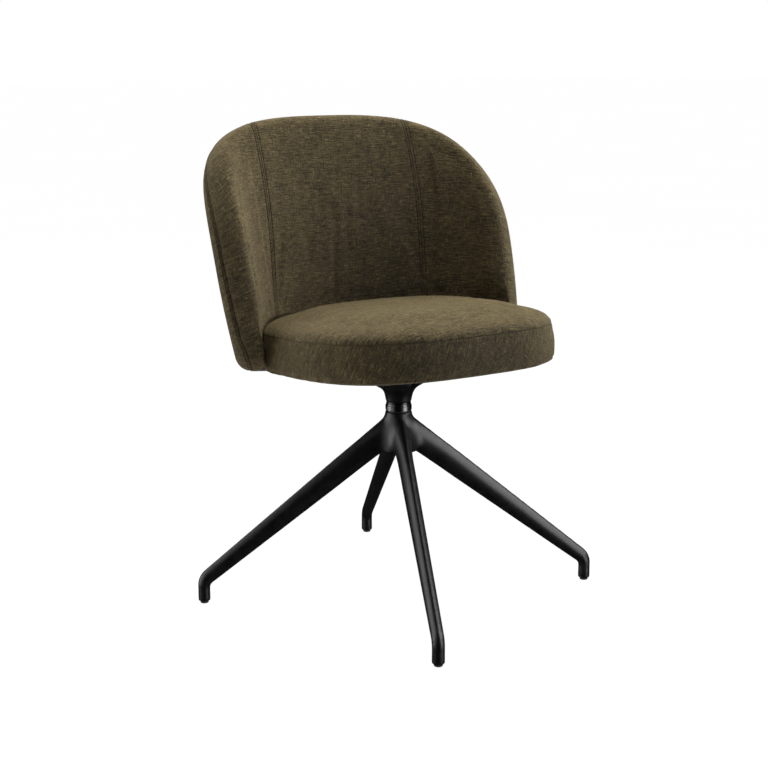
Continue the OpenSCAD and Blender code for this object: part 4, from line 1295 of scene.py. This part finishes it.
# Each box: bearing, distance, height, the height that it aims at, its size and its power
cloth_boxes = {
    "high_right_rear": (122, 1.7, 2.6, 0.5, (2.4, 1.2), 84),
    "high_rear": (178, 1.7, 2.6, 0.5, (1.6, 1.2), 19),
    "overhead": (0, 0.0, 3.0, 0.0, (1.4, 1.4), 31),
    "right_low": (82, 2.6, 0.1, 0.1, (2.0, 1.3), 32),
    "right_high": (60, 2.5, 1.7, 0.6, (1.3, 1.6), 27),
    "left_low": (-84, 2.6, 0.1, 0.1, (1.5, 1.3), 17),
    "left_rear": (-126, 2.6, 1.4, 0.6, (1.6, 1.3), 20),
    "floor_bounce": (0, 0.0, -0.35, 1.0, (1.6, 1.6), 9),
}
gloss_boxes = {
    "gloss_left_rear": (-122, 2.6, 0.75, 0.4, (1.6, 2.6), 40),
    "gloss_left": (-90, 2.6, 0.75, 0.4, (1.4, 2.6), 9),
    "gloss_right": (28, 2.6, 0.6, 0.35, (1.5, 2.6), 46),
    "gloss_right_side": (62, 2.6, 1.4, 0.6, (1.5, 1.5), 31),
    "gloss_right_high": (32, 2.2, 2.2, 0.6, (1.2, 1.1), 16),
    "gloss_high": (26, 1.7, 2.6, 0.5, (2.0, 1.2), 20),
    "gloss_rear": (-165, 1.9, 2.4, 0.5, (2.4, 1.2), 10),
}


def floor_paint():
    finish, tree, shader = new_finish("floor_paint")
    where = on_part(tree)
    cloud = noise(tree, where, 0.8, 2)
    feed(tree, blend_colours(tree, cloud, floor_dark, floor_grey), shader.inputs["Base Color"])
    feed(tree, blend_colours(tree, cloud, floor_white, floor_pale), shader.inputs["Emission Color"])
    feed(tree, span(tree, cloud, 0.3, 0.7, *floor_matt), shader.inputs["Roughness"])
    shader.inputs["Emission Strength"].default_value = 1.0
    shader.inputs["Specular IOR Level"].default_value = 0.0
    return finish


floor_mesh = bpy.data.meshes.new("floor")
floor_corners = [(x * floor_half, y * floor_half, 0) for x, y in ((-1, -1), (1, -1), (1, 1), (-1, 1))]
floor_mesh.from_pydata(floor_corners, [], [(0, 1, 2, 3)])
floor_mesh.update()
floor = place("floor", floor_mesh)
floor_mesh.materials.append(floor_paint())
floor.visible_diffuse = False
floor.visible_glossy = False
floor.visible_shadow = False

studio = bpy.data.worlds.new("studio")
studio.use_nodes = True
studio.node_tree.nodes["Background"].inputs["Color"].default_value = (1, 1, 1, 1)
studio.node_tree.nodes["Background"].inputs["Strength"].default_value = 1.0
studio.cycles_visibility.diffuse = False
studio.cycles_visibility.glossy = False
bpy.context.scene.world = studio


def soft_box(name, on_cloth, bearing, distance, height, aim, size, power):
    """A panel at a bearing from the front: it lights the cloth, or it shows in the gloss."""
    turn = math.radians(bearing)
    lamp = bpy.data.lights.new(name, "AREA")
    lamp.shape = "RECTANGLE"
    lamp.size, lamp.size_y = size
    lamp.energy = power
    box = bpy.data.objects.new(name, lamp)
    box.location = (distance * math.sin(turn), -distance * math.cos(turn), height)
    box.rotation_euler = (Vector((0, 0, aim)) - box.location).to_track_quat("-Z", "Y").to_euler()
    box.visible_camera = False
    box.visible_glossy = not on_cloth
    box.visible_diffuse = on_cloth
    bpy.context.scene.collection.objects.link(box)


for name, box in cloth_boxes.items():
    soft_box(name, True, *box)
for name, box in gloss_boxes.items():
    soft_box(name, False, *box)

lens = bpy.data.cameras.new("photo_camera")
lens.lens = lens_l
lens.sensor_width = film_w
lens.clip_end = 100
camera = bpy.data.objects.new("photo_camera", lens)
camera.location = camera_at
camera.rotation_euler = Vector(camera_aim).to_track_quat("-Z", "Y").to_euler()
bpy.context.scene.collection.objects.link(camera)
bpy.context.scene.camera = camera
bpy.context.scene.view_settings.view_transform = "Standard"
